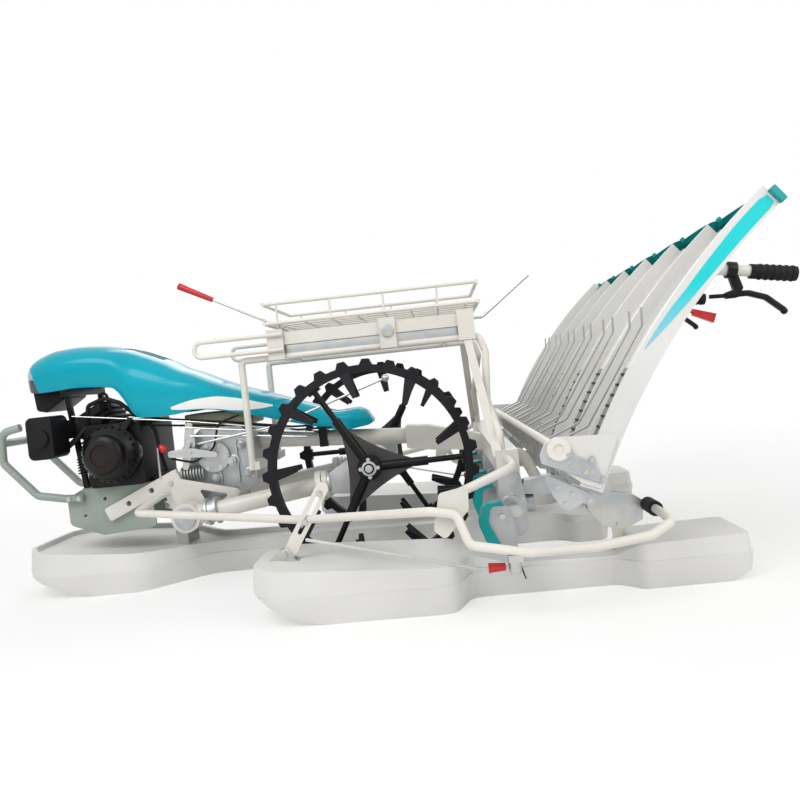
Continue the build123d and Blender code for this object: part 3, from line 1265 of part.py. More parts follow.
PARTS = {
    "main_tube": main_tube,
    "side_frames": side_frames,
    "tool_beam": tool_beam,
    "engine_bed": engine_bed,
    "front_bumper": bumper,
    "engine_block": engine_block,
    "recoil_starter": recoil_starter,
    "air_cleaner": air_cleaner,
    "muffler": muffler,
    "hood": hood,
    "head_lamp": head_lamp,
    "fuel_tank": fuel_tank,
    "transmission": transmission,
    "float_centre": centre_float,
    "float_left": lambda: side_float(1),
    "float_right": lambda: side_float(-1),
    "float_links": float_links,
    "rear_brackets": rear_brackets,
    "hood_stays": hood_stays,
    "rack_frame": rack_frame,
    "rack_slides": rack_slides,
    "spare_basket": basket,
    "basket_rods": basket_rods,
    "basket_rod_grip": basket_rod_grip,
    "guard_left": lambda: guard(1),
    "guard_right": lambda: guard(-1),
    "guard_sleeves": bumper_sleeves,
    "planting_cases": planting_cases,
    "planter_cranks": planter_cranks,
    "planter_arms": planter_arms,
    "planter_covers": planter_covers,
    "planter_forks": planter_forks,
    "gate_rail": gate_rail,
    "rear_frame": rear_frame,
    "handle_grips": handle_grips,
    "clutch_levers": clutch_levers,
    "red_levers": red_levers,
    "control_rods": control_rods,
    "gear_levers": gear_levers,
    "nose_box": nose_box,
    "platform_tray": platform_tray,
    "platform_dividers": platform_dividers,
    "platform_sides": platform_sides,
    "platform_caps": platform_caps,
    "presser_rail": presser_rail,
    "presser_rods": presser_rods,
    "feed_belts": feed_belts,
    "marker_posts": marker_posts,
}
for name, side in (("left", 1), ("right", -1)):
    PARTS["wheel_rim_" + name] = lambda side=side: wheel_rim(side)
    PARTS["wheel_spider_" + name] = lambda side=side: wheel_spider(side)
    PARTS["arm_tube_" + name] = lambda side=side: arm_tube(side)
    PARTS["arm_gearcase_" + name] = lambda side=side: arm_gearcase(side)
    PARTS["marker_" + name] = lambda side=side: marker(side)
    PARTS["marker_grip_" + name] = lambda side=side: marker_grip(side)

os.makedirs("parts", exist_ok=True)
for name, make in PARTS.items():
    export_step(make(), os.path.join("parts", name + ".step"))
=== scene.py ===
"""Finish and fine detail of a six-row walk-behind rice transplanter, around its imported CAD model.

Lengths are metres: X points forward, Y to the machine's left and Z up from the ground.
"""

import json
import math

import bmesh
import bpy
from bpy.props import FloatProperty, FloatVectorProperty, IntProperty, PointerProperty
from mathutils import Matrix, Vector


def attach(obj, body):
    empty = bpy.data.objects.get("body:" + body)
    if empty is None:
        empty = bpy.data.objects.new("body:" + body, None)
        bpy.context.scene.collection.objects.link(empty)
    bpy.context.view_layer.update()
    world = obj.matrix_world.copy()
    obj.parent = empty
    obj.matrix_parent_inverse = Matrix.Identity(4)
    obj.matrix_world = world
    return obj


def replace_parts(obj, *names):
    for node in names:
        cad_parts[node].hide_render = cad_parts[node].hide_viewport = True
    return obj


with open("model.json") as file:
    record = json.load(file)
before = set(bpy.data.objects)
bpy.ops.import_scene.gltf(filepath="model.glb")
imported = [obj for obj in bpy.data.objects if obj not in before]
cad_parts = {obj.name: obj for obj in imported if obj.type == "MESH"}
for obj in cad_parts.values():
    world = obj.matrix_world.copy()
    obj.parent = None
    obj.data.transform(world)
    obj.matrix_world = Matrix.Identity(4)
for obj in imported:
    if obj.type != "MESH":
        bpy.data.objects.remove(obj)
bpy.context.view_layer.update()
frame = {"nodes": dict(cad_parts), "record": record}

bl_info = {
    "name": "Rice transplanter finish",
    "version": (1, 0, 0),
    "blender": (4, 5, 0),
    "location": "View3D > Sidebar > Transplanter",
    "description": "Materials and fine pieces of a walk-behind rice transplanter",
    "category": "Object",
}

MM = 0.001
BODY_OF = {node: body for body, nodes in frame["record"]["behaviour"]["bodies"].items() for node in nodes}
SLOT_OF = {row["node"]: row["material_slot"] for row in frame["record"]["subparts"]}
SIDES = {1: "left", -1: "right"}
SMOOTH_ANGLE = 38.0         # degrees; a wider angle between faces is a sharp edge
SHARP_EDGE = math.radians(32)
WELD = 0.02 * MM            # points that are closer become one
FILM = 0.0005               # thickness of stuck-on film
FILM_GAP = 0.0006           # from a surface to the film's outer face
DULL = 0.22                 # specular level of dark enamels and of moulded plastics


# ------------------------------------------------------------------ colour and nodes

def linear(code):
    """A linear colour with alpha, from a hex sRGB code."""
    channels = [int(code[i:i + 2], 16) / 255 for i in (1, 3, 5)]
    return [c / 12.92 if c <= 0.04045 else ((c + 0.055) / 1.055) ** 2.4 for c in channels] + [1.0]


def tone(value):
    """A linear colour with alpha, from a hex sRGB code or from a colour property."""
    return linear(value) if isinstance(value, str) else list(value) + [1.0]


def add(tree, kind, inputs=None, **settings):
    """A node with its settings, and with its inputs set to values or linked to sockets."""
    node = tree.nodes.new(kind)
    for name, value in settings.items():
        setattr(node, name, value)
    for name, value in (inputs or {}).items():
        if isinstance(value, bpy.types.NodeSocket):
            tree.links.new(value, node.inputs[name])
        else:
            node.inputs[name].default_value = value
    return node


def start_material(name, roughness, metallic=0.0, **sockets):
    """A material with a bare shader: its tree, the shader and the object's own coordinates."""
    material = bpy.data.materials.new(name)
    material.use_nodes = True
    tree = material.node_tree
    shader = tree.nodes["Principled BSDF"]
    shader.inputs["Roughness"].default_value = roughness
    shader.inputs["Metallic"].default_value = metallic
    for socket, value in sockets.items():
        shader.inputs[socket.replace("_", " ")].default_value = value
    where = add(tree, "ShaderNodeTexCoord").outputs["Object"]
    return material, tree, shader, where


def mottle(tree, where, size_mm, detail=2.0):
    """Cloudy noise whose patches are about size_mm wide."""
    noise = {"Vector": where, "Scale": 1 / (size_mm * MM), "Detail": detail}
    return add(tree, "ShaderNodeTexNoise", noise).outputs["Fac"]


def two_tones(tree, factor, first, second, low=0.35, high=0.65):
    """A colour that goes from first to second as factor goes from low to high."""
    ramp = add(tree, "ShaderNodeValToRGB", {"Fac": factor})
    for element, position, colour in zip(ramp.color_ramp.elements, (low, high), (first, second)):
        element.position = position
        element.color = tone(colour)
    return ramp.outputs["Color"]


def relief(tree, shader, height, depth_mm):
    """Bumps of depth_mm on the shader's surface."""
    bump = add(tree, "ShaderNodeBump", {"Height": height, "Distance": depth_mm * MM, "Strength": 1.0})
    tree.links.new(bump.outputs["Normal"], shader.inputs["Normal"])


def coat(name, rough, first, second, cloud_mm, grain_mm, depth_mm, spread=0.06, **sockets):
    """A material of two close tones in clouds, with a fine grain that its roughness follows."""
    material, tree, shader, where = start_material(name, rough, **sockets)
    colour = two_tones(tree, mottle(tree, where, cloud_mm), first, second)
    tree.links.new(colour, shader.inputs["Base Color"])
    grain = mottle(tree, where, grain_mm, 3.0)
    rough = shader.inputs["Roughness"].default_value
    span = {"Value": grain, "To Min": rough - spread, "To Max": rough + spread}
    tree.links.new(add(tree, "ShaderNodeMapRange", span).outputs["Result"], shader.inputs["Roughness"])
    relief(tree, shader, grain, depth_mm)
    return material


def fading(name, rough, heights, tones, reach, grain_mm, **sockets):
    """A material that goes from one tone to another between two heights, under a faint relief."""
    material, tree, shader, where = start_material(name, rough, **sockets)
    height = add(tree, "ShaderNodeSeparateXYZ", {"Vector": where}).outputs["Z"]
    span = {"Value": height, "From Min": heights[0], "From Max": heights[1]}
    share = add(tree, "ShaderNodeMapRange", span).outputs["Result"]
    tree.links.new(two_tones(tree, share, *tones, *reach), shader.inputs["Base Color"])
    relief(tree, shader, mottle(tree, where, grain_mm), 0.02)
    return material


# ------------------------------------------------------------------ materials

def ivory_powder_coat():
    """Powder-coated steel tube: a soft gloss with a faint orange peel."""
    return coat("ivory_powder_coat", 0.34, "#D6D2C9", "#DEDAD1", 160, 2.6, 0.05)


def white_powder_coat():
    """Powder-coated steel plate, a little darker than the tubes."""
    return coat("white_powder_coat", 0.32, "#D0CDC5", "#D8D5CE", 140, 2.6, 0.05)


def grey_green_enamel():
    """Sprayed enamel on the engine's bed: satin, with slight runs in tone."""
    return coat("grey_green_enamel", 0.42, "#8F9A92", "#9AA49C", 120, 3.0, 0.06)


def black_stove_enamel():
    """Baked black enamel on pressed steel: dark, with clear highlights."""
    return coat("black_stove_enamel", 0.3, "#09090B", "#100F11", 90, 2.4, 0.05, Specular_IOR_Level=DULL)


def moulded_black_plastic():
    """Moulded polypropylene with a spark-eroded grain, so it shines only softly."""
    return coat("moulded_black_plastic", 0.46, "#0C0C0E", "#131315", 120, 1.4, 0.08,
                Specular_IOR_Level=DULL)


def vulcanised_rubber():
    """Vulcanised natural rubber: blue-black, matte, with a dull sheen on its edges."""
    return coat("vulcanised_rubber", 0.62, "#121216", "#1B1B20", 70, 2.0, 0.12, 0.1,
                Specular_IOR_Level=DULL)


def teal_moulding():
    """Glossy moulded ABS, coloured right through."""
    colour = bpy.context.scene.transplanter_colours.hood
    return coat("teal_moulding", 0.16, colour, "#04A2B6", 200, 5.0, 0.02, 0.03, Specular_IOR_Level=DULL)


def blown_polyethylene():
    """Blow-moulded polyethylene of the floats and trays: waxy, slightly uneven and satin."""
    return coat("blown_polyethylene", 0.4, "#D3D2CF", "#DAD9D6", 260, 9.0, 0.12, Subsurface_Weight=0.04,
                Subsurface_Radius=(0.01, 0.008, 0.006))


def red_vinyl():
    """Dipped vinyl: soft, thick and shiny."""
    return coat("red_vinyl", 0.28, "#B3171C", "#C41F22", 60, 3.0, 0.05)


def sand_cast_aluminium():
    """Sand-cast aluminium under clear lacquer: pale, grainy and dull."""
    return coat("sand_cast_aluminium", 0.44, "#A9ACAE", "#BDBFC0", 60, 1.6, 0.16, 0.1, metallic=0.75)


def black_cast_iron():
    """Cast iron and alloy of the engine, sprayed black over a coarse skin."""
    return coat("black_cast_iron", 0.48, "#0C0C0D", "#161617", 50, 2.2, 0.18, 0.1, Specular_IOR_Level=DULL)


def zinc_plate():
    """Bright zinc plating: pale metal with a faint blue and straw bloom."""
    return coat("zinc_plate", 0.3, "#B7BDC1", "#C8C6BC", 40, 2.0, 0.04, 0.08, metallic=0.85)


def khaki_enamel():
    """Khaki enamel on the tank's pressed steel."""
    return coat("khaki_enamel", 0.4, "#7D7B69", "#88866F", 100, 3.0, 0.05)


def clear_polycarbonate():
    """Polycarbonate lamp lens: pale behind the clear part, dark grey in its lower frame."""
    return fading("clear_polycarbonate", 0.1, (0.696, 0.712), ("#4E565C", "#A9B1B5"), (0.3, 0.7), 8.0,
                  Specular_IOR_Level=0.25)


def web_enamel():
    """Brown-black enamel on the wheels' thin web, worn a little matt."""
    return coat("web_enamel", 0.44, "#2A2526", "#383233", 60, 3.0, 0.08, 0.1)


def grey_belt_rubber():
    """Grey rubber of the feed belts, dusty and matt."""
    return coat("grey_belt_rubber", 0.66, "#7A7773", "#8A8782", 50, 2.0, 0.1, 0.1)


def teal_green_moulding():
    """Moulded polypropylene, greener and duller than the hood."""
    return coat("teal_green_moulding", 0.3, "#0C8C8A", "#149896", 90, 3.0, 0.05, 0.05,
                Specular_IOR_Level=DULL)


def shaded_teal_moulding():
    """Teal moulding of the platform's scalloped edge, darkened as painted shade."""
    return coat("shaded_teal_moulding", 0.6, "#0A5B5C", "#0E6766", 90, 3.0, 0.05, 0.05,
                Specular_IOR_Level=0.0)


def fan_cover_enamel():
    """Brown-black enamel of the starter's stepped cover."""
    return coat("fan_cover_enamel", 0.36, "#1B1614", "#251E1B", 60, 3.0, 0.06, Specular_IOR_Level=DULL)


def white_film():
    """White vinyl film, glossy and clean."""
    return coat("white_film", 0.26, "#EFEFED", "#F5F5F3", 90, 4.0, 0.02, 0.03)


def turquoise_film():
    """Turquoise vinyl film that pales towards its lower point."""
    colour = bpy.context.scene.transplanter_colours.stripe
    return fading("turquoise_film", 0.24, (0.59, 0.72), ("#8FC3DC", colour), (0.0, 1.0), 4.0)


SLOT_MATERIALS = {
    "white_paint": white_powder_coat,
    "cream_paint": ivory_powder_coat,
    "grey_green_paint": grey_green_enamel,
    "black_paint": black_stove_enamel,
    "black_plastic": moulded_black_plastic,
    "black_rubber": vulcanised_rubber,
    "teal_plastic": teal_moulding,
    "white_plastic": blown_polyethylene,
    "red_plastic": red_vinyl,
    "cast_aluminium": sand_cast_aluminium,
    "cast_iron": black_cast_iron,
    "zinc_steel": zinc_plate,
    "khaki_paint": khaki_enamel,
    "clear_lens": clear_polycarbonate,
}


def material_of(slot):
    """The one material of a record's slot, made when it is first asked for."""
    maker = SLOT_MATERIALS[slot]
    return bpy.data.materials.get(maker.__name__) or maker()


# ------------------------------------------------------------------ objects and meshes

def placed(name, data):
    """A new object in the scene."""
    obj = bpy.data.objects.new(name, data)
    bpy.context.scene.collection.objects.link(obj)
    return obj


def finished(name, mesh, slot, body, angle=SMOOTH_ANGLE, material=None):
    """An object from a mesh: smooth between sharp edges, finished as its slot and riding on its body."""
    obj = placed(name, mesh)
    mesh.materials.clear()
    mesh.materials.append(material or material_of(slot))
    mesh.shade_smooth()
    mesh.set_sharp_from_angle(angle=math.radians(angle))
    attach(obj, body)
    return obj


def piece(name, bm, slot, body, angle=SMOOTH_ANGLE, material=None):
    """A finished object from a bmesh, which is used up."""
    mesh = bpy.data.meshes.new(name)
    bm.to_mesh(mesh)
    bm.free()
    return finished(name, mesh, slot, body, angle, material)


def turned_out(bm):
    """The same bmesh, with its faces turned to point outwards."""
    bmesh.ops.recalc_face_normals(bm, faces=bm.faces[:])
    return bm


def made_by(modifier, maker):
    """The mesh that a modifier makes of its helper object. Both are then removed."""
    graph = bpy.context.evaluated_depsgraph_get()
    mesh = bpy.data.meshes.new_from_object(maker.evaluated_get(graph), depsgraph=graph)
    maker.modifiers.remove(modifier)
    bpy.data.objects.remove(maker)
    return mesh


def evenly(first, last, count):
    """Values from first to last in count even steps."""
    return [first + (last - first) * i / count for i in range(count + 1)]


def on_circle(radius, degrees):
    """A point on a circle round the origin of a plane."""
    turn = math.radians(degrees)
    return radius * math.cos(turn), radius * math.sin(turn)


def in_metres(rows):
    """Rows of metres from rows of millimetres."""
    return [tuple(value * MM for value in row) for row in rows]


def join(bm, near, far):
    """Faces between two closed rings of points, either of which may be a single point."""
    count = max(len(near), len(far))
    for k in range(count):
        after = (k + 1) % count
        if len(near) == 1:
            bm.faces.new((near[0], far[after], far[k]))
        elif len(far) == 1:
            bm.faces.new((near[k], near[after], far[0]))
        else:
            bm.faces.new((near[k], near[after], far[after], far[k]))


def add_solid(bm, rings):
    """A closed shape through rings of points, with flat ends."""
    for near, far in zip(rings, rings[1:]):
        join(bm, near, far)
    if len(rings[0]) > 1:
        bm.faces.new(rings[0][::-1])
    if len(rings[-1]) > 1:
        bm.faces.new(rings[-1])


def ring_round(bm, centre, across, other, radius, sides):
    """Points round a centre, in the plane of the directions across and other."""
    turns = [2 * math.pi * k / sides for k in range(sides)]
    return [bm.verts.new(centre + (across * math.cos(t) + other * math.sin(t)) * radius) for t in turns]


def rounded_line(points, bend, steps=5):
    """Points along a polyline whose inner corners are rounded to about the radius bend."""
    points = [Vector(p) for p in points]
    line = [points[0]]
    for before, corner, after in zip(points, points[1:-1], points[2:]):
        back, ahead = (before - corner).normalized(), (after - corner).normalized()
        half = back.angle(ahead) / 2
        if half > math.radians(89):
            line.append(corner)
            continue
        run = min(bend / math.tan(half), 0.49 * (before - corner).length, 0.49 * (after - corner).length)
        first, last = corner + back * run, corner + ahead * run
        for t in evenly(0, 1, steps):
            line.append(first * (1 - t) ** 2 + corner * (2 * t * (1 - t)) + last * t ** 2)
    return line + [points[-1]]


def add_tube(bm, points, radius, sides, bend):
    """A round bar along a bent line, with flat ends."""
    line = rounded_line(points, bend)
    across = (line[1] - line[0]).orthogonal().normalized()
    rings = []
    for before, at, after in zip(line[:1] + line, line, line[1:] + line[-1:]):
        along = (after - before).normalized()
        across = (across - along * across.dot(along)).normalized()
        rings.append(ring_round(bm, at, across, along.cross(across), radius, sides))
    add_solid(bm, rings)


def add_lathe(bm, profile, centre, axis, sides=32, bored=False):
    """A turned shape, from rows of (distance along the axis, radius). Without a bore, it is solid."""
    axis, centre = Vector(axis).normalized(), Vector(centre)
    across = axis.orthogonal().normalized()
    other = axis.cross(across)
    if not bored:
        end = [(profile[-1][0], 0)] if profile[-1][1] else []
        profile = [(profile[0][0], 0)] + profile + end
    rings = []
    for depth, radius in profile:
        at = centre + axis * depth
        rings.append(ring_round(bm, at, across, other, radius, sides) if radius else [bm.verts.new(at)])
    add_solid(bm, rings)


def add_plate(bm, outline, y, thick, edge):
    """A plate drawn in side view, with its middle at y and a chamfer of edge round both of its faces."""
    area = sum(a[0] * b[1] - b[0] * a[1] for a, b in zip(outline, outline[1:] + outline[:1]))
    points = [Vector(at) for at in (outline if area > 0 else outline[::-1])]
    rings = []
    for height, inset in ((0.0, edge), (edge, 0.0), (thick - edge, 0.0), (thick, edge)):
        ring = []
        for back, at, ahead in zip(points[-1:] + points, points, points[1:] + points[:1]):
            one, two = (at - back).normalized(), (ahead - at).normalized()
            inward = Vector((-(one.y + two.y), one.x + two.x))
            if inward.length > 1e-9:
                inward = inward.normalized() / max(0.35, math.cos(one.angle(two) / 2))
            spot = at + inward * inset
            ring.append(bm.verts.new((spot.x, y - thick / 2 + height, spot.y)))
        rings.append(ring)
    add_solid(bm, rings)


def stadium(start, end, half, steps=8):
    """The closed outline of a straight slot with round ends."""
    turn = math.atan2(end.y - start.y, end.x - start.x)
    rows = []
    for centre, first in ((end, turn - math.pi / 2), (start, turn + math.pi / 2)):
        for angle in evenly(first, first + math.pi, steps):
            rows.append(centre + half * Vector((math.cos(angle), math.sin(angle))))
    return rows


def add_slotted(bm, start, end, half, slot, slot_half, y, thick):
    """A flat link in side view, with round ends and a slot between two shares of the way along it."""
    outer = stadium(start, end, half)
    inner = stadium(start.lerp(end, slot[0]), start.lerp(end, slot[1]), slot_half)
    near, far = y - thick / 2, y + thick / 2
    rings = [[bm.verts.new((at.x, level, at.y)) for at in rows]
             for rows, level in ((outer, near), (outer, far), (inner, far), (inner, near))]
    for one, next_one in zip(rings, rings[1:] + rings[:1]):
        join(bm, one, next_one)


def add_slab(bm, grid, thick):
    """A thin sheet through a grid of points, closed all round and thickened behind its faces."""
    last, end = len(grid) - 1, len(grid[0]) - 1
    under = []
    for i, row in enumerate(grid):
        line = []
        for k, at in enumerate(row):
            along = grid[min(i + 1, last)][k] - grid[max(i - 1, 0)][k]
            across = row[min(k + 1, end)] - row[max(k - 1, 0)]
            line.append(at - along.cross(across).normalized() * thick)
        under.append(line)
    top, under = [[[bm.verts.new(at) for at in row] for row in sheet] for sheet in (grid, under)]
    for i in range(last):
        for k in range(end):
            bm.faces.new((top[i][k], top[i + 1][k], top[i + 1][k + 1], top[i][k + 1]))
            bm.faces.new((under[i][k], under[i][k + 1], under[i + 1][k + 1], under[i + 1][k]))
        bm.faces.new((top[i][0], under[i][0], under[i + 1][0], top[i + 1][0]))
        bm.faces.new((top[i][end], top[i + 1][end], under[i + 1][end], under[i][end]))
    for k in range(end):
        bm.faces.new((top[0][k], top[0][k + 1], under[0][k + 1], under[0][k]))
        bm.faces.new((top[last][k], under[last][k], under[last][k + 1], top[last][k + 1]))


def fair(value, rows):
    """A smooth value at a place along rows of (place, value), with no overshoot between them."""
    rows = sorted(rows)
    if value <= rows[0][0]:
        return rows[0][1]
    if value >= rows[-1][0]:
        return rows[-1][1]
    steps = [(b[1] - a[1]) / (b[0] - a[0]) for a, b in zip(rows, rows[1:])]
    inner = [0.0 if a * b <= 0 else 2 * a * b / (a + b) for a, b in zip(steps, steps[1:])]
    slopes = [steps[0]] + inner + [steps[-1]]
    i = max(k for k in range(len(rows) - 1) if rows[k][0] <= value)
    span = rows[i + 1][0] - rows[i][0]
    t = (value - rows[i][0]) / span
    start, end = (1 + 2 * t) * (1 - t) ** 2, t * t * (3 - 2 * t)
    return (start * rows[i][1] + end * rows[i + 1][1]
            + t * (1 - t) ** 2 * span * slopes[i] + t * t * (t - 1) * span * slopes[i + 1])


# ------------------------------------------------------------------ bolts

HEX_RATIO = 1.732           # a hexagon's width over its radius


def tree_with(name, inputs):
    """A geometry tree with named inputs, from rows of (name, socket type, default), and those inputs."""
    tree = bpy.data.node_groups.new(name, "GeometryNodeTree")
    tree.interface.new_socket("Geometry", in_out="INPUT", socket_type="NodeSocketGeometry")
    for label, kind, default in inputs:
        tree.interface.new_socket(label, in_out="INPUT", socket_type=kind).default_value = default
    tree.interface.new_socket("Geometry", in_out="OUTPUT", socket_type="NodeSocketGeometry")
    return tree, add(tree, "NodeGroupInput").outputs


def end_tree(tree, geometry, material):
    """Makes the instances real, gives them their material and ends the tree."""
    real = add(tree, "GeometryNodeRealizeInstances", {"Geometry": geometry}).outputs[0]
    real = add(tree, "GeometryNodeSetMaterial", {"Geometry": real, "Material": material}).outputs[0]
    add(tree, "NodeGroupOutput", {"Geometry": real})
    return tree


def grown(name, tree, base, sizes, slot, body):
    """Runs a geometry tree on a base mesh and keeps the result as a plain piece."""
    maker = placed(name + "_base", base)
    modifier = maker.modifiers.new("grow", "NODES")
    modifier.node_group = tree
    for item in tree.interface.items_tree:
        if item.item_type == "SOCKET" and item.in_out == "INPUT" and item.name in sizes:
            modifier[item.identifier] = sizes[item.name]
    return finished(name, made_by(modifier, maker), slot, body)


def spots(rows):
    """A mesh of loose points with the way each one faces, from rows of (place, direction)."""
    mesh = bpy.data.meshes.new("spots")
    mesh.from_pydata([tuple(place) for place, direction in rows], [], [])
    facing = mesh.attributes.new("facing", "FLOAT_VECTOR", "POINT")
    for i, (place, direction) in enumerate(rows):
        facing.data[i].vector = direction
    return mesh


def bolt_tree(slot):
    """Hexagon bolt heads on washers, one at each point, facing as the point says."""
    tree, given = tree_with("bolts_" + slot, [
        ("Head Width", "NodeSocketFloat", 0.013), ("Head Height", "NodeSocketFloat", 0.006),
        ("Washer Width", "NodeSocketFloat", 0.018), ("Washer Height", "NodeSocketFloat", 0.0015)])
    head_r, washer_r, lift = [
        add(tree, "ShaderNodeMath", {0: given[label], 1: factor}, operation="MULTIPLY").outputs[0]
        for label, factor in (("Head Width", 1 / HEX_RATIO), ("Washer Width", 0.5), ("Head Height", 0.5))]
    head = add(tree, "GeometryNodeMeshCylinder",
               {"Vertices": 6, "Radius": head_r, "Depth": given["Head Height"]}).outputs["Mesh"]
    washer = add(tree, "GeometryNodeMeshCylinder",
                 {"Vertices": 14, "Radius": washer_r, "Depth": given["Washer Height"]}).outputs["Mesh"]
    lift = add(tree, "ShaderNodeCombineXYZ", {"Z": lift}).outputs[0]
    head = add(tree, "GeometryNodeTransform", {"Geometry": head, "Translation": lift}).outputs[0]
    bolt = add(tree, "GeometryNodeJoinGeometry", {"Geometry": head})
    tree.links.new(washer, bolt.inputs["Geometry"])
    facing = add(tree, "GeometryNodeInputNamedAttribute", {"Name": "facing"}, data_type="FLOAT_VECTOR")
    turn = add(tree, "FunctionNodeAlignRotationToVector", {"Vector": facing.outputs[0]}, axis="Z").outputs[0]
    points = add(tree, "GeometryNodeInstanceOnPoints",
                 {"Points": given["Geometry"], "Instance": bolt.outputs[0], "Rotation": turn}).outputs[0]
    return end_tree(tree, points, material_of(slot))


def add_bolts(name, rows, body, **sizes):
    """Zinc-plated bolts as one piece, from rows of (place, direction) and the sizes that differ."""
    sizes = {label.replace("_", " "): size for label, size in sizes.items()}
    grown(name, bolt_tree("zinc_steel"), spots(rows), sizes, "zinc_steel", body)


def on_left(y, places):
    """Bolt places on a face that looks left, from rows of x and z in millimetres."""
    return [((x * MM, y, z * MM), (0, 1, 0)) for x, z in places]


def both_sides(rows):
    """Bolt places on the left side and their mirror images."""
    return rows + [((at[0], -at[1], at[2]), (way[0], -way[1], way[2])) for at, way in rows]


def round_spots(centre, y, facing, radius, count, first=0.0):
    """Bolt places on a circle in side view."""
    rows = []
    for i in range(count):
        across, up = on_circle(radius, first + 360 * i / count)
        rows.append(((centre[0] + across, y, centre[1] + up), (0, facing, 0)))
    return rows


# ------------------------------------------------------------------ hood

# x, half width, lower edge and crest of the hood, in millimetres
HOOD_ROWS = [
    (1176, 66, 684, 728), (1172, 92, 672, 744), (1162, 114, 664, 758), (1140, 138, 660, 774),
    (1114, 148, 658, 786), (1058, 163, 659, 800), (996, 168, 662, 803), (916, 170, 658, 797),
    (861, 169, 649, 785), (831, 168, 611, 778), (810, 167, 571, 772), (788, 166, 545, 763),
    (706, 160, 541, 725), (660, 156, 543, 698), (609, 150, 551, 677), (559, 144, 547, 652),
    (485, 133, 531, 620), (389, 119, 504, 586), (313, 104, 480, 558), (229, 90, 456, 527),
    (146, 80, 434, 498), (111, 78, 432, 501), (84, 74, 436, 503), (51, 66, 440, 488), (36, 56, 446, 462)]
# share of the half width and of the height, from the lower edge to the crest
HOOD_SECTION = [
    (0.92, 0.0), (0.95, 0.1), (0.975, 0.25), (0.992, 0.4), (1.0, 0.52), (0.99, 0.61), (0.955, 0.7),
    (0.89, 0.785), (0.8, 0.86), (0.72, 0.905), (0.65, 0.935), (0.6, 0.95), (0.5, 0.967), (0.38, 0.983),
    (0.24, 0.993), (0.12, 0.998), (0.0, 1.0)]
WIDEST = 0.52               # share of the height at which the hood is widest
NOSE_STEP, NOSE_RINGS = 4, 16   # millimetres between the rings of the nose, and their number
TAIL_RINGS = 76
HOOD_SHARP = 32             # degrees
LAMP_TOP, LAMP_REAR, LAMP_RAKE = 0.737, 1.141, 0.3      # upper edge, rear edge there and its slope
VENT_FLOOR = 0.68           # the vent's opening lies above this height
SLAT_LAP = 1.04             # a slat's length over the opening's width
# The first depth is that of the black sheet under the vent's slats, which is painted shade.
SHADE_SHEET_DEPTH, SLAT_REAR_DEPTH, SLAT_FRONT_DEPTH = 0.016, 0.012, 0.003     # below the hood's surface
# x, upper and lower edge of the pale band along the hood's side, in millimetres
BAND_ROWS = [(352, 541, 537), (400, 556, 533), (444, 570, 533), (485, 580, 537), (536, 588, 547),
             (590, 586, 553), (640, 578, 555), (678, 568, 560)]


def hood_measures(x):
    """Half width, lower edge and crest at a place along the hood, in metres."""
    return [fair(x / MM, [(row[0], row[column]) for row in HOOD_ROWS]) * MM for column in (1, 2, 3)]


def hood_height(x, y):
    """How high the crown stands at a place on it."""
    half, low, top = hood_measures(x)
    share = min(abs(y) / half, 1.0)
    crown = [row for row in HOOD_SECTION if row[1] >= WIDEST]
    for outer, inner in zip(crown, crown[1:]):
        if inner[0] <= share <= outer[0]:
            t = (outer[0] - share) / (outer[0] - inner[0])
            return low + (top - low) * (outer[1] + (inner[1] - outer[1]) * t)


def hood_side(x, z):
    """How far out the hood's side stands at a height."""
    half, low, top = hood_measures(x)
    return half * fair((z - low) / (top - low), [(row[1], row[0]) for row in HOOD_SECTION if row[1] <= 0.9])


def hood_shell():
    """The hood's outer surface as rings from nose to tail, closed at both ends and open below."""
    nose = [HOOD_ROWS[0][0] - NOSE_STEP * i for i in range(NOSE_RINGS)]
    bm = bmesh.new()
    rings = []
    for x in nose + evenly(nose[-1], HOOD_ROWS[-1][0], TAIL_RINGS)[1:]:
        half, low, top = hood_measures(x * MM)
        row = [Vector((x * MM, half * across, low + (top - low) * up)) for across, up in HOOD_SECTION]
        row += [Vector((at.x, -at.y, at.z)) for at in row[-2::-1]]
        rings.append([bm.verts.new(at) for at in row])
    for near, far in zip(rings, rings[1:]):
        for corners in zip(near, near[1:], far[1:], far):
            bm.faces.new(corners)
    bm.faces.new(rings[0][::-1])
    bm.faces.new(rings[-1])
    turned_out(bm)
    if sum(face.normal.z * face.calc_area() for face in bm.faces) < 0:
        bmesh.ops.reverse_faces(bm, faces=bm.faces[:])
    return bm


def kept_faces(bm, wanted):
    """A copy of the mesh that keeps only the faces whose middle is wanted."""
    other = bm.copy()
    doomed = [face for face in other.faces if not wanted(face.calc_center_median())]
    bmesh.ops.delete(other, geom=doomed, context="FACES")
    return other


def thickened(bm, wall):
    """The open surface as a closed wall that grows inwards."""
    mesh = bpy.data.meshes.new("surface")
    bm.to_mesh(mesh)
    bm.free()
    maker = placed("surface", mesh)
    modifier = maker.modifiers.new("wall", "SOLIDIFY")
    modifier.thickness = wall
    modifier.offset = -1.0
    return made_by(modifier, maker)


def in_lamp(at):
    """Whether a place on the hood belongs to the lamp's lens in the nose."""
    return at.z < LAMP_TOP and at.x > LAMP_REAR - LAMP_RAKE * (LAMP_TOP - at.z)


def in_vent(at, sizes):
    """Whether a place on the hood belongs to the opening of the vent."""
    return sizes.vent_rear < at.x < sizes.vent_front and abs(at.y) < sizes.vent_half and at.z > VENT_FLOOR


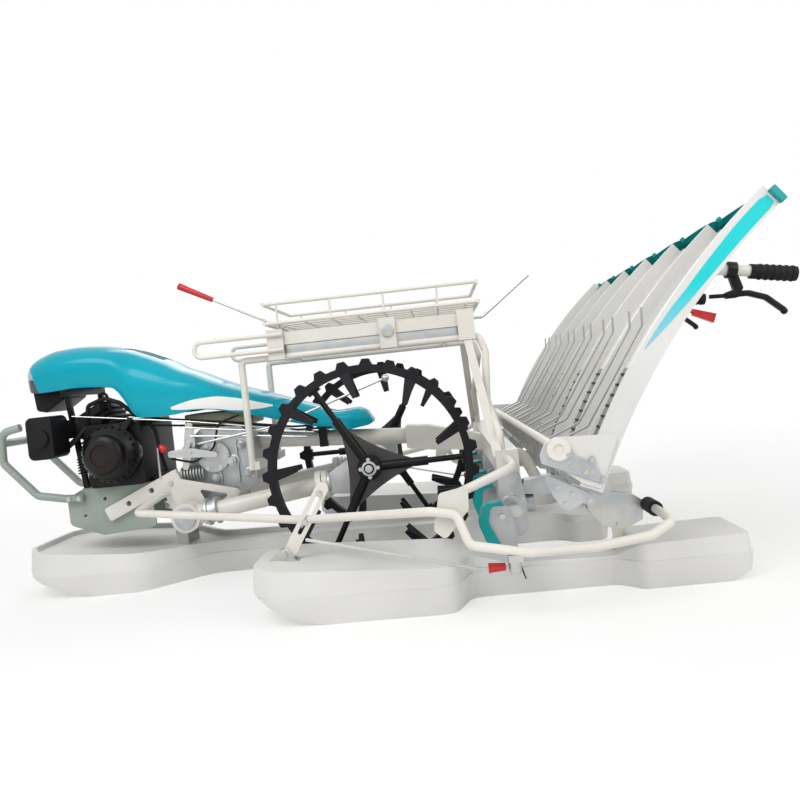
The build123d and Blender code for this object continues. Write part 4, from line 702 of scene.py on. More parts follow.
class TRANSPLANTER_OT_hood(bpy.types.Operator):
    """Moulded hood with its lamp, its louvred vent and the pale bands along its sides"""
    bl_idname = "transplanter.hood"
    bl_label = "Hood"

    def execute(self, context):
        sizes = context.scene.transplanter_hood
        shell = hood_shell()
        cover = kept_faces(shell, lambda at: not in_lamp(at) and not in_vent(at, sizes))
        cover = thickened(cover, sizes.wall)
        lens = thickened(kept_faces(shell, in_lamp), sizes.wall)
        shell.free()
        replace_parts(finished("hood_cover", cover, "teal_plastic", "chassis", HOOD_SHARP), "hood")
        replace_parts(finished("nose_lens", lens, "clear_lens", "chassis", HOOD_SHARP), "head_lamp")
        self.add_vent(sizes)
        self.add_bands()
        return {"FINISHED"}

    def add_vent(self, sizes):
        """Slats across the vent, over a black sheet below the crown that is painted shade in the vent's
        opening.
        """
        bm = bmesh.new()
        reach = sizes.vent_half * SLAT_LAP

        def across(x, depth):
            """A line across the hood at x, by a depth below its surface."""
            return [Vector((x, y, hood_height(x, y) - depth)) for y in evenly(-reach, reach, 12)]

        # The black sheet under the slats is painted shade where the vent opens into the hood.
        tray = [across(x, SHADE_SHEET_DEPTH) for x in (sizes.vent_rear - 0.006, sizes.vent_front + 0.004)]
        add_slab(bm, tray, thick=0.002)
        pitch = (sizes.vent_front - sizes.vent_rear) / sizes.vent_slats
        for i in range(sizes.vent_slats):
            x = sizes.vent_rear + pitch * (i + 0.3)
            slat = [across(x, SLAT_REAR_DEPTH), across(x + pitch * 0.5, SLAT_FRONT_DEPTH)]
            add_slab(bm, slat, thick=0.0018)
        piece("hood_vent", bm, "black_plastic", "chassis")

    def add_bands(self):
        """A thin film on each side, from the hood's middle back to a point."""
        bm = bmesh.new()
        for side in SIDES:
            grid = []
            for x in evenly(BAND_ROWS[0][0], BAND_ROWS[-1][0], 40):
                high, low = [fair(x, [(row[0], row[k]) for row in BAND_ROWS]) * MM for k in (1, 2)]
                x *= MM
                low = max(low, hood_measures(x)[1] + 0.001)
                heights = evenly(low, high, 6)
                grid.append([Vector((x, side * (hood_side(x, z) + FILM_GAP), z)) for z in heights])
            add_slab(bm, grid[::side], FILM)
        piece("hood_bands", bm, "white_plastic", "chassis", material=white_film())


# ------------------------------------------------------------------ softened castings and mouldings

# node and the radius of its rounded edges, in millimetres
ROUNDED_NODES = [
    ("float_centre", 24.0), ("float_left", 24.0), ("float_right", 24.0), ("air_cleaner", 6.0),
    ("nose_box", 5.0), ("engine_bed", 1.5), ("transmission", 4.0), ("arm_gearcase_left", 5.0),
    ("arm_gearcase_right", 5.0), ("planting_cases", 4.0), ("fuel_tank", 6.0), ("side_frames", 1.2),
    ("recoil_starter", 2.0), ("engine_block", 2.5), ("rack_slides", 1.0), ("gear_levers", 1.2),
    ("handle_grips", 2.0), ("clutch_levers", 1.2)]
LARGE_RADIUS = 20.0         # millimetres; from here on an edge is rounded with more segments
FLAT_ANGLE = math.radians(1.5)


class TRANSPLANTER_OT_mouldings(bpy.types.Operator):
    """Round the edges of the castings, the floats and the moulded cases"""
    bl_idname = "transplanter.mouldings"
    bl_label = "Mouldings"

    def execute(self, context):
        for node, radius in ROUNDED_NODES:
            bm = bmesh.new()
            bm.from_mesh(frame["nodes"][node].data)
            bmesh.ops.remove_doubles(bm, verts=bm.verts[:], dist=WELD)
            bmesh.ops.dissolve_limit(bm, angle_limit=FLAT_ANGLE, verts=bm.verts[:], edges=bm.edges[:])
            edges = [edge for edge in bm.edges
                     if len(edge.link_faces) == 2 and edge.calc_face_angle() > SHARP_EDGE]
            bmesh.ops.bevel(bm, geom=edges, offset=radius * MM, offset_type="OFFSET", profile=0.5,
                            segments=3 if radius < LARGE_RADIUS else 5, affect="EDGES", clamp_overlap=True)
            bmesh.ops.triangulate(bm, faces=[face for face in bm.faces if len(face.verts) > 4])
            made = piece(node + "_rounded", bm, SLOT_OF[node], BODY_OF[node], angle=30)
            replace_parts(made, node)
        covers = frame["nodes"]["planter_covers"].data
        covers.materials.clear()
        covers.materials.append(teal_green_moulding())
        return {"FINISHED"}


# ------------------------------------------------------------------ platform

PLATFORM_R = 1.553          # the tray's rear face
PLATFORM_FOOT = (-0.530, 0.286)
FOOT_ANGLE = 22.8           # angles of the platform are in degrees, up from the level
TOP_ANGLE = 50.4
LANE = 0.300
LANE_YS = [LANE * (i - 2.5) for i in range(6)]
SIDE_FACE_Y = 0.912
STRIPE_GAP = 0.0007         # from the side's face to the films' outer face
PRESSER_RAIL = (0.121, 25.0)    # how far its middle stands out from the tray, and its angle
# angle, front and rear radius of the stripe, beyond the tray's rear face in millimetres
STRIPE_ROWS = [(34.8, 39, 37), (36.5, 38, 26), (38.5, 36, 16), (41, 32, 8), (44, 32, 4), (47, 34, 3),
               (49.4, 34, 3), (50.1, 28, 8)]
BLANK_PLATE = ((26.4, 31.5), (0.004, 0.037))    # its angles, and how far its edges stand out
# distance from the lane's middle, and angle of the rib's lower end
RIB_ROWS = [(0.112, 23.4), (0.088, 23.4), (0.03, 34.6)]
RIB_TOP = TOP_ANGLE - 0.8
BELT = (24.0, 33.7)         # angles of its ends
LUG_ROWS, FIRST_LUG, LUG_PITCH, LUG_ANGLE = 9, 24.6, 1.04, 0.18
LUG_PLACES = (-0.048, -0.018, 0.018, 0.048)     # across the belt
SCALLOP_HALF, SCALLOP_RISE = 0.136, 0.75    # half width, and how far its middle rises, in degrees
# share of a cap's half width and of its height, round its section
CAP_SECTION = [(0.8, 0.0), (1.0, 0.0), (1.0, 0.75), (0.6, 1.0), (-0.6, 1.0), (-1.0, 0.75), (-1.0, 0.0),
               (-0.8, 0.0)]
CAP_OUT, CAP_SPAN = 0.034, (-0.15, 1.0)     # how far a cap stands out, and its ends as shares of that
END_CAP_Y, END_CAP_TOP, WALL_CAP_TOP = 0.915, 51.0, 50.7
# outlines along X and Z: the plates at the platform's lower ends, above the gate rail's line,
# and the plates on the gate rail's own ends, below that line
END_PLATE = in_metres([
    (-404, 363), (-402, 384), (-416, 408), (-438, 418), (-459, 410), (-470, 392), (-484, 374), (-520, 353),
    (-530, 336), (-533, 306)])
RAIL_PLATE = in_metres([
    (-414, 336), (-500, 290), (-514, 278), (-520, 266), (-514, 250), (-502, 256), (-490, 264), (-476, 256),
    (-458, 247), (-440, 258), (-424, 288), (-410, 322)])
END_PLATE_Y, RAIL_PLATE_Y = 0.9195, 0.9025      # middles of the plates
END_THICK, END_EDGE = 0.005, 0.0012
# distance outwards and radius of the pressed cup on the presser rail's end, and of the plug in it
RAIL_CUP = [(0, 0.024), (0.0045, 0.026), (0.006, 0.0255), (0.006, 0.012), (0.003, 0.012)]
RAIL_PLUG = [(0, 0.0072), (0.010, 0.0072)]
RAIL_CUP_Y, RAIL_PLUG_Y = 0.9215, 0.9105
END_FACE_Y, RAIL_FACE_Y = 0.922, 0.905      # outer faces of the plates, where their bolts sit


def on_platform(out, angle, y):
    """A point of the platform, from how far it stands out from the tray's rear face and its angle."""
    foot = math.radians(FOOT_ANGLE)
    turn = math.radians(angle)
    x = PLATFORM_FOOT[0] + (PLATFORM_R + out) * math.cos(turn) - PLATFORM_R * math.cos(foot)
    z = PLATFORM_FOOT[1] + (PLATFORM_R + out) * math.sin(turn) - PLATFORM_R * math.sin(foot)
    return Vector((x, y, z))


def add_band(bm, low, high, y, half, out, thick, steps=24):
    """A curved strip on the tray round y, from angle low to high, whose front face stands out by out."""
    add_slab(bm, [[on_platform(out, angle, y + half), on_platform(out, angle, y - half)]
                  for angle in evenly(low, high, steps)], thick)


class TRANSPLANTER_OT_platform(bpy.types.Operator):
    """Stripes, ribs, feed belts, scalloped edge, caps and end plates of the seedling platform"""
    bl_idname = "transplanter.platform"
    bl_label = "Platform"

    def execute(self, context):
        self.add_stripes()
        self.add_ribs()
        self.add_belts()
        self.add_scallops()
        self.add_caps(context.scene.transplanter_platform)
        self.add_rail_ends()
        self.add_gate_rail_ends()
        return {"FINISHED"}

    def add_stripes(self):
        """Films on the platform's two ends: a turquoise stripe, and a blank plate below it."""
        stripes, plates = bmesh.new(), bmesh.new()
        for side in SIDES:
            y = side * (SIDE_FACE_Y + STRIPE_GAP)
            grid = []
            for angle in evenly(STRIPE_ROWS[0][0], STRIPE_ROWS[-1][0], 48):
                front, rear = [fair(angle, [(row[0], row[k]) for row in STRIPE_ROWS]) * MM for k in (1, 2)]
                grid.append([on_platform(out, angle, y) for out in evenly(rear, front, 4)])
            add_slab(stripes, grid[::side], FILM)
            angles, edges = BLANK_PLATE
            grid = [[on_platform(out, angle, y) for out in edges] for angle in evenly(*angles, 12)]
            add_slab(plates, grid[::side], FILM)
        piece("platform_stripes", stripes, "teal_plastic", "platform", material=turquoise_film())
        piece("blank_plates", plates, "white_plastic", "platform")

    def add_ribs(self):
        """Low ribs up each lane, which the seedling mats slide on."""
        bm = bmesh.new()
        for lane in LANE_YS:
            for across, low in RIB_ROWS:
                for side in SIDES:
                    y = lane + side * across
                    add_band(bm, low, RIB_TOP, y, half=0.0016, out=0.0078, thick=0.002)
        piece("tray_ribs", bm, "white_plastic", "platform")

    def add_belts(self):
        """A feed belt at the foot of each lane, with rows of lugs."""
        belts, lugs = bmesh.new(), bmesh.new()
        for lane in LANE_YS:
            add_band(belts, *BELT, lane, half=0.068, out=0.0098, thick=0.0036)
            for i in range(LUG_ROWS):
                low = FIRST_LUG + LUG_PITCH * i
                for across in LUG_PLACES:
                    add_band(lugs, low, low + LUG_ANGLE, lane + across, half=0.011, out=0.0135, thick=0.005,
                             steps=2)
        made = piece("feed_belt_bands", belts, "black_rubber", "platform", material=grey_belt_rubber())
        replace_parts(made, "feed_belts")
        piece("feed_belt_lugs", lugs, "black_rubber", "platform")

    def add_scallops(self):
        """Scalloped upper edge of each lane."""
        bm = bmesh.new()
        for lane in LANE_YS:
            grid = []
            for share in evenly(0, 1, 24):
                y = lane + SCALLOP_HALF * (2 * share - 1)
                top = TOP_ANGLE + 0.1 + SCALLOP_RISE * math.sin(math.pi * share) ** 0.8
                grid.append([on_platform(0.020, TOP_ANGLE - 0.75, y), on_platform(0.026, top, y)])
            add_slab(bm, grid, thick=0.020)
        # The scalloped edge takes the darkened teal, which is painted shade.
        made = piece("scalloped_edge", bm, "teal_plastic", "platform", material=shaded_teal_moulding())
        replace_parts(made, "platform_caps")

    def add_caps(self, sizes):
        """Caps on the upper ends of the walls between and beside the lanes."""
        bm = bmesh.new()
        low = TOP_ANGLE - 0.1
        ends = [(side * END_CAP_Y, sizes.end_cap, END_CAP_TOP) for side in SIDES]
        walls = [(LANE * i, sizes.wall_cap, WALL_CAP_TOP) for i in range(-2, 3)]
        for y, half, top in ends + walls:
            add_solid(bm, [
                [bm.verts.new(on_platform(CAP_OUT * share, low + (top - low) * rise, y + half * across))
                 for across, rise in CAP_SECTION] for share in CAP_SPAN])
        edges = [edge for edge in turned_out(bm).edges if edge.calc_face_angle(0) > SHARP_EDGE]
        bmesh.ops.bevel(bm, geom=edges, offset=0.0015, segments=2, affect="EDGES", clamp_overlap=True)
        piece("platform_end_caps", bm, "teal_plastic", "platform", material=teal_green_moulding())

    def add_rail_ends(self):
        """Cast end plates that carry the presser rail, with the cups, plugs and bolts at its ends."""
        plates, cups, plugs = bmesh.new(), bmesh.new(), bmesh.new()
        rail = on_platform(*PRESSER_RAIL, 0)
        for side in SIDES:
            add_plate(plates, END_PLATE, side * END_PLATE_Y, END_THICK, END_EDGE)
            add_lathe(cups, RAIL_CUP, (rail.x, side * RAIL_CUP_Y, rail.z), (0, side, 0))
            add_lathe(plugs, RAIL_PLUG, (rail.x, side * RAIL_PLUG_Y, rail.z), (0, side, 0))
        piece("rail_end_plates", turned_out(plates), "cast_aluminium", "platform")
        piece("rail_end_flanges", turned_out(cups), "cream_paint", "platform")
        rows = both_sides(on_left(END_FACE_Y, [(-470, 352), (-512, 334), (-424, 366)]))
        add_bolts("rail_end_bolts", rows, "platform", Head_Width=0.008, Head_Height=0.0035,
                  Washer_Width=0.011)
        piece("rail_end_plugs", turned_out(plugs), "black_plastic", "platform")

    def add_gate_rail_ends(self):
        """Cast plates bolted to the ends of the fixed gate rail."""
        plates = bmesh.new()
        for side in SIDES:
            add_plate(plates, RAIL_PLATE, side * RAIL_PLATE_Y, END_THICK, END_EDGE)
        piece("gate_rail_end_plates", turned_out(plates), "cast_aluminium", "chassis")
        rows = both_sides(on_left(RAIL_FACE_Y, [(-438, 304), (-468, 286), (-505, 268), (-452, 266)]))
        add_bolts("gate_rail_end_bolts", rows, "chassis", Head_Width=0.010, Head_Height=0.0045,
                  Washer_Width=0.014)


# ------------------------------------------------------------------ wheels

WHEEL_AT = (0.033, 0.328)           # X and Z of the axle
WHEEL_Y = 0.320                     # middle of the web
HUB_FACE_Y = 0.358
FIRST_SPOKE = {1: 59.0, -1: 0.0}    # degrees, by side
# distance beyond the hub's face and radius
HUB_CAP = [(-0.004, 0.033), (0.003, 0.033), (0.006, 0.030), (0.006, 0.020), (0.011, 0.018), (0.013, 0.014)]
WEB_THICK, WEB_EDGE = 0.0056, 0.0008
HUB_BOLT_CIRCLE, HUB_BOLTS = 0.026, 4


def arc_through(a, b, c, steps=12):
    """Points of the circle's arc from a through b to c, without c."""
    a, b, c = Vector(a), Vector(b), Vector(c)
    middle = circle_centre(a, b, c)
    start, through, end = [math.atan2(at.y - middle.y, at.x - middle.x) for at in (a, b, c)]
    turn, through = (end - start) % (2 * math.pi), (through - start) % (2 * math.pi)
    if through > turn:
        turn -= 2 * math.pi
    radius = (a - middle).length
    return [(middle.x + radius * math.cos(t), middle.y + radius * math.sin(t))
            for t in evenly(start, start + turn, steps)[:-1]]


def circle_centre(a, b, c):
    """Centre of the circle through three points of a plane."""
    d = 2 * (a.x * (b.y - c.y) + b.x * (c.y - a.y) + c.x * (a.y - b.y))
    squares = [v.length_squared for v in (a, b, c)]
    x = (squares[0] * (b.y - c.y) + squares[1] * (c.y - a.y) + squares[2] * (a.y - b.y)) / d
    y = (squares[0] * (c.x - b.x) + squares[1] * (a.x - c.x) + squares[2] * (b.x - a.x)) / d
    return Vector((x, y))


class TRANSPLANTER_OT_wheels(bpy.types.Operator):
    """Webs, hub caps and hub bolts of the drive wheels"""
    bl_idname = "transplanter.wheels"
    bl_label = "Wheels"

    def execute(self, context):
        sizes = context.scene.transplanter_wheels
        x, z = WHEEL_AT
        for side, word in SIDES.items():
            body, first = "wheel_" + word, FIRST_SPOKE[side]
            tips = [on_circle(sizes.web_reach, first + 120 * i) for i in range(3)]
            dips = [on_circle(sizes.web_dip, first + 120 * i + 60) for i in range(3)]
            outline = []
            for tip, dip, next_tip in zip(tips, dips, tips[1:] + tips[:1]):
                outline += [(x + across, z + up) for across, up in arc_through(tip, dip, next_tip)]
            web, cap = bmesh.new(), bmesh.new()
            add_plate(web, outline, side * WHEEL_Y, WEB_THICK, WEB_EDGE)
            piece("web_" + word, turned_out(web), "black_paint", body, material=web_enamel())
            add_lathe(cap, HUB_CAP, (x, side * HUB_FACE_Y, z), (0, side, 0))
            piece("hub_cap_" + word, turned_out(cap), "black_paint", body)
            face = side * (HUB_FACE_Y + 0.006)
            rows = round_spots(WHEEL_AT, face, side, HUB_BOLT_CIRCLE, HUB_BOLTS, first + 30)
            add_bolts("hub_bolts_" + word, rows, body, Head_Width=0.009, Washer_Width=0.012)
        return {"FINISHED"}


# ------------------------------------------------------------------ swing arms and links

ARM_FRONT = (0.639, 0.212, 0.215)   # the left arm's pivot, and its end at the wheel
ARM_REAR = (0.178, 0.212, 0.276)
ARM_BORE = 0.0265
COLLAR_AT, FLANGE_AT = 0.062, 0.040     # from the pivot, and back from the end at the wheel
FLANGE_FACE_AT = 0.018                  # back from the end at the wheel
COLLAR_BOLT_CIRCLE, FLANGE_BOLT_CIRCLE = 0.039, 0.042
# distance along the arm and radius
ARM_COLLAR = [(0, ARM_BORE), (0, 0.040), (0.002, 0.043), (0.010, 0.043), (0.012, 0.036), (0.030, 0.034),
              (0.032, 0.043), (0.040, 0.043), (0.042, 0.040), (0.042, ARM_BORE)]
ARM_FLANGE = [(0, ARM_BORE), (0, 0.036), (0.004, 0.048), (0.020, 0.048), (0.022, 0.046), (0.022, ARM_BORE)]
SIDE_LINKS_Y = 0.45                 # the side floats' links lie further out, the middle one's hanger inside
LINK_Y = 0.628
LINK_LOW, LINK_HIGH = Vector((0.250, 0.140)), Vector((0.136, 0.318))
LINK_HALF, SLOT_HALF, LINK_THICK = 0.017, 0.0055, 0.005
LINK_SLOT = (0.38, 0.86)            # shares of the way from the lower end to the upper
LINK_CHEEK_YS = (0.613, 0.640)
LINK_PIN_X, LINK_PIN_Z = 0.252, 0.156
SOLE_XS, SOLE_YS, SOLE_Z = (0.214, 0.24, 0.27, 0.302), (-0.020, -0.007, 0.007, 0.020), 0.139
LINK_CHEEK = in_metres([(222, 136), (294, 136), (294, 140), (266, 166), (246, 172), (238, 164), (222, 140)])
LINK_PIN = [(-0.018, 0.008), (-0.013, 0.009), (-0.013, 0.005), (0.013, 0.005), (0.013, 0.009),
            (0.018, 0.008)]
REAR_CHEEK = in_metres([
    (-560, 300), (-542, 268), (-546, 196), (-580, 150), (-636, 136), (-684, 158), (-690, 206), (-664, 226),
    (-612, 236), (-604, 262), (-596, 300)])
REAR_HANGER = in_metres([(-606, 150), (-606, 70), (-612, 62), (-628, 62), (-634, 70), (-634, 150)])
REAR_TRAY = in_metres([(-560, 244), (-600, 222), (-650, 214), (-680, 200), (-680, 166)])
REAR_CHEEK_YS, REAR_HANGER_Y, REAR_POST_Y = (0.606, 0.6265), 0.616, 0.61625
REAR_TRAY_YS = (0.6085, 0.616, 0.624)
# x, z and radius in millimetres
REAR_POSTS = [(-562, 216, 8), (-578, 284, 7), (-664, 196, 10), (-620, 150, 6)]


class TRANSPLANTER_OT_arms(bpy.types.Operator):
    """Castings of the swing arms, the floats' front links and the brackets behind the gate rail"""
    bl_idname = "transplanter.arms"
    bl_label = "Arms and links"

    def execute(self, context):
        for side, word in SIDES.items():
            self.add_arm_castings(side, word, "swing_arm_" + word)
        self.add_float_links()
        self.add_rear_brackets()
        return {"FINISHED"}

    def add_arm_castings(self, side, word, body):
        """The collar behind an arm's pivot, the flange before its wheel and the bolts of both."""
        front, rear = [Vector((x, side * y, z)) for x, y, z in (ARM_FRONT, ARM_REAR)]
        along = (rear - front).normalized()
        collar, flange = bmesh.new(), bmesh.new()
        add_lathe(collar, ARM_COLLAR, front + along * COLLAR_AT, along, bored=True)
        piece("pivot_collar_" + word, turned_out(collar), "cast_aluminium", body)
        add_lathe(flange, ARM_FLANGE, rear - along * FLANGE_AT, along, bored=True)
        piece("arm_flange_" + word, turned_out(flange), "cream_paint", body)
        across = along.orthogonal().normalized()
        other = along.cross(across)
        rows = []
        for at, radius, way in ((front + along * COLLAR_AT, COLLAR_BOLT_CIRCLE, -1),
                                (rear - along * FLANGE_FACE_AT, FLANGE_BOLT_CIRCLE, 1)):
            for i in range(6):
                one, two = on_circle(radius, 60 * i + 30)
                rows.append((at + across * one + other * two, along * way))
        add_bolts("arm_flange_bolts_" + word, rows, body, Head_Width=0.009, Washer_Width=0.012)

    def add_float_links(self):
        """Slotted plates on zinc brackets on the side floats, and the hanger of the middle float."""
        hanger, links, brackets = bmesh.new(), bmesh.new(), bmesh.new()
        hanger.from_mesh(frame["nodes"]["float_links"].data)
        outer = [vert for vert in hanger.verts if abs(vert.co.y) > SIDE_LINKS_Y]
        bmesh.ops.delete(hanger, geom=outer, context="VERTS")
        bmesh.ops.remove_doubles(hanger, verts=hanger.verts[:], dist=WELD)
        made = piece("float_front_hanger", hanger, "zinc_steel", "chassis")
        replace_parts(made, "float_links")
        for side in SIDES:
            add_slotted(links, LINK_LOW, LINK_HIGH, LINK_HALF, LINK_SLOT, SLOT_HALF, side * LINK_Y,
                        LINK_THICK)
            for y in LINK_CHEEK_YS:
                add_plate(brackets, LINK_CHEEK, side * y, thick=0.003, edge=0.0005)
            sole = [[Vector((x, side * (LINK_Y + y), SOLE_Z)) for y in SOLE_YS] for x in SOLE_XS]
            add_slab(brackets, sole[::side], thick=0.004)
            add_lathe(brackets, LINK_PIN, (LINK_PIN_X, side * LINK_Y, LINK_PIN_Z), (0, 1, 0), sides=16)
        piece("float_link_plates", turned_out(links), "cream_paint", "chassis")
        piece("float_link_brackets", turned_out(brackets), "zinc_steel", "chassis")
        add_bolts("float_link_bolts", both_sides(on_left(0.6305, [(190, 234), (144, 305)])), "chassis")

    def add_rear_brackets(self):
        """Paired cheeks, spacers and a tray behind the gate rail, with the hanger of the side float."""
        cheeks, spacers = bmesh.new(), bmesh.new()
        for side in SIDES:
            for y in REAR_CHEEK_YS:
                add_plate(cheeks, REAR_CHEEK, side * y, thick=0.003, edge=0.0006)
            add_plate(cheeks, REAR_HANGER, side * REAR_HANGER_Y, thick=0.004, edge=0.0008)
            for x, z, radius in in_metres(REAR_POSTS):
                waist = radius * 0.75
                post = [(-0.009, radius), (-0.004, radius), (-0.003, waist)]
                post += [(-along, wide) for along, wide in post[::-1]]
                add_lathe(spacers, post, (x, side * REAR_POST_Y, z), (0, 1, 0), sides=20)
            tray = [[Vector((x, side * y, z)) for y in REAR_TRAY_YS] for x, z in REAR_TRAY]
            add_slab(spacers, tray[::side], thick=0.003)
        made = piece("rear_bracket_cheeks", turned_out(cheeks), "zinc_steel", "chassis")
        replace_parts(made, "rear_brackets")
        piece("rear_bracket_spacers", turned_out(spacers), "cast_aluminium", "chassis")
        rows = both_sides(on_left(0.628, [(x, z) for x, z, radius in REAR_POSTS]))
        add_bolts("rear_bracket_bolts", rows, "chassis", Head_Width=0.009, Head_Height=0.004,
                  Washer_Width=0.013)


# ------------------------------------------------------------------ engine

ENGINE_AT = (0.872, 0.438)          # X and Z of the crankshaft
ENGINE_FACE = 0.175
STARTER_DEPTH = 0.100               # how far the starter's cover stands out from the engine's face
PORT_FACE_Y = 0.118                 # face of the gearbox that its ports stand on
# distance out and radius: the boss on the starter's cover, and the ring round the cover
STARTER_BOSS = [(-0.004, 0.052), (0.0005, 0.052), (0.0015, 0.050), (0.0015, 0.036), (-0.003, 0.034)]
STARTER_RING = [(0.058, 0.062), (0.058, 0.070), (0.062, 0.072), (0.066, 0.070), (0.068, 0.062)]
HEAD_FIN = [(0, 0.021), (0.004, 0.021)]
HEAD_FIN_ZS = [0.381 + 0.009 * i for i in range(6)]
GEARBOX_FIN = [(0, 0.020), (0.003, 0.022), (0.006, 0.020)]
GEARBOX_FIN_XS = [0.668 - 0.010 * i for i in range(8)]
KNOB_AT, KNOB_WAY = (0.722, 0.170, 0.448), (-0.6, 0.1, -0.8)
KNOB = [(0, 0.006), (0.006, 0.010), (0.016, 0.012), (0.024, 0.010), (0.029, 0.005), (0.030, 0)]
# bent pipes and brackets over the cylinder: radius and points
PIPES = [
    (0.007, [(0.97, 0.13, 0.53), (0.96, 0.135, 0.60), (0.90, 0.14, 0.62), (0.85, 0.14, 0.60),
             (0.80, 0.13, 0.55)]),
    (0.005, [(0.93, 0.10, 0.58), (0.925, 0.12, 0.635), (0.895, 0.13, 0.635), (0.89, 0.12, 0.57)]),
    (0.009, [(1.03, 0.17, 0.47), (0.99, 0.165, 0.50), (0.965, 0.15, 0.53)]),
    (0.006, [(0.78, 0.12, 0.54), (0.75, 0.12, 0.50), (0.74, 0.12, 0.42), (0.73, 0.11, 0.36)])]
# cable sleeves from the engine back along the hood, and a loop beside the gearbox
SLEEVES = [
    (0.0035, [(0.84, 0.10, 0.555), (0.70, 0.13, 0.530), (0.50, 0.125, 0.500), (0.30, 0.09, 0.462),
              (0.12, 0.05, 0.452)]),
    (0.0035, [(0.80, 0.12, 0.520), (0.66, 0.14, 0.505), (0.44, 0.130, 0.485), (0.28, 0.10, 0.450),
              (0.10, 0.06, 0.444)]),
    (0.0035, [(0.70, 0.14, 0.40), (0.62, 0.16, 0.38), (0.55, 0.155, 0.42), (0.53, 0.15, 0.50),
              (0.46, 0.14, 0.52)])]
RODS = [
    (0.0022, [(1.01, 0.15, 0.571), (0.62, 0.15, 0.515), (0.30, 0.12, 0.455)]),
    (0.0022, [(0.655, 0.16, 0.50), (0.50, 0.165, 0.478), (0.22, 0.15, 0.44)]),
    (0.003, [(0.62, 0.165, 0.468), (0.40, 0.17, 0.448), (0.24, 0.165, 0.428)]),
    (0.004, [(0.735, 0.16, 0.44), (0.735, 0.16, 0.34)])]
# x, z, radius and length of the gearbox's ports
PORTS = [(0.640, 0.400, 0.010, 0.022), (0.500, 0.372, 0.014, 0.026), (0.470, 0.420, 0.009, 0.020),
         (0.560, 0.322, 0.012, 0.018), (0.452, 0.330, 0.011, 0.020)]


def tubes(rows, sides, bend):
    """A bmesh of round bars, from rows of (radius, points)."""
    bm = bmesh.new()
    for radius, points in rows:
        add_tube(bm, points, radius, sides, bend)
    return bm


class TRANSPLANTER_OT_engine(bpy.types.Operator):
    """Starter cover, cylinder head fittings, cables, gearbox ports, throttle rods and the red knob"""
    bl_idname = "transplanter.engine"
    bl_label = "Engine"

    def execute(self, context):
        x, z = ENGINE_AT
        cover, fins, knob = bmesh.new(), bmesh.new(), bmesh.new()
        add_lathe(cover, STARTER_BOSS, (x, ENGINE_FACE + STARTER_DEPTH, z), (0, 1, 0), sides=48)
        add_lathe(cover, STARTER_RING, (x, ENGINE_FACE, z), (0, 1, 0), sides=48, bored=True)
        piece("starter_cover_rings", turned_out(cover), "black_paint", "chassis",
              material=fan_cover_enamel())
        head = tubes(PIPES, sides=10, bend=0.02)
        for z in HEAD_FIN_ZS:
            add_lathe(head, HEAD_FIN, (0.985, 0.155, z), (0, 0, 1), sides=16)
        piece("engine_fittings", turned_out(head), "cast_iron", "chassis")
        piece("cable_sleeves", tubes(SLEEVES, sides=8, bend=0.04), "black_rubber", "chassis")
        for x in GEARBOX_FIN_XS:
            add_lathe(fins, GEARBOX_FIN, (x, 0.126, 0.345), (1, 0, 0), sides=20)
        for x, z, radius, long in PORTS:
            port = [(-0.004, radius * 1.5), (0.004, radius * 1.5), (0.006, radius), (long, radius),
                    (long, radius * 0.6), (long + 0.006, radius * 0.5)]
            add_lathe(fins, port, (x, PORT_FACE_Y, z), (0, 1, 0), sides=24)
        piece("gearbox_ports", turned_out(fins), "cast_aluminium", "chassis")
        piece("throttle_rods", tubes(RODS, sides=8, bend=0.03), "zinc_steel", "chassis")
        add_lathe(knob, KNOB, KNOB_AT, KNOB_WAY, sides=20)
        piece("stop_knob", turned_out(knob), "red_plastic", "chassis")
        return {"FINISHED"}


# ------------------------------------------------------------------ fasteners

# faces that bolts stand on, and the middles and bolt circles of the round ones
GEARBOX_FACE_Y, GUSSET_FACE_Y, BED_FACE_Y, COVER_FACE_Y = 0.112, 0.165, 0.166, 0.136
COVER_AT, COVER_BOLT_CIRCLE = (0.560, 0.392), 0.042
CASE_YS, CASE_HALF = (-0.6, 0.0, 0.6), 0.042
CASE_AT, CASE_BOLT_CIRCLE = (-0.352, 0.226), 0.028
ARM_FACE_Y, ARM_BOLT_CIRCLE = 0.243, 0.044


class TRANSPLANTER_OT_fasteners(bpy.types.Operator):
    """Bolts of the gearbox, gussets, engine bed, planting cases, swing arms and end plates"""
    bl_idname = "transplanter.fasteners"
    bl_label = "Fasteners"

    def execute(self, context):
        gearbox = [(655, 300), (655, 395), (615, 462), (470, 462), (445, 400), (445, 320), (500, 280),
                   (600, 280)]
        gussets = [(702, 322), (690, 212), (612, 204), (484, 274)]
        bed = [(1010, 301), (1044, 303)]
        chassis = both_sides(
            on_left(GEARBOX_FACE_Y, gearbox) + on_left(GUSSET_FACE_Y, gussets) + on_left(BED_FACE_Y, bed)
            + round_spots(COVER_AT, COVER_FACE_Y, 1, COVER_BOLT_CIRCLE, 6))
        for y in CASE_YS:
            for side in SIDES:
                chassis += round_spots(CASE_AT, y + side * CASE_HALF, side, CASE_BOLT_CIRCLE, 6, 30)
        add_bolts("chassis_bolts", chassis, "chassis")
        for side, word in SIDES.items():
            arm = round_spots(WHEEL_AT, side * ARM_FACE_Y, side, ARM_BOLT_CIRCLE, 6, 20)
            add_bolts("arm_bolts_" + word, arm, "swing_arm_" + word)
        rail = on_platform(*PRESSER_RAIL, 0)
        ends = [(rail.x / MM - 20, rail.z / MM - 14), (-500, 336), (-536, 316), (-516, 362)]
        add_bolts("platform_bolts", both_sides(on_left(END_FACE_Y, ends)), "platform", Head_Width=0.010,
                  Washer_Width=0.015)
        return {"FINISHED"}


# ------------------------------------------------------------------ finishes and stage

LAMP_AIM = (0, 0, 0.4)
SENSOR_WIDTH = 36           # millimetres


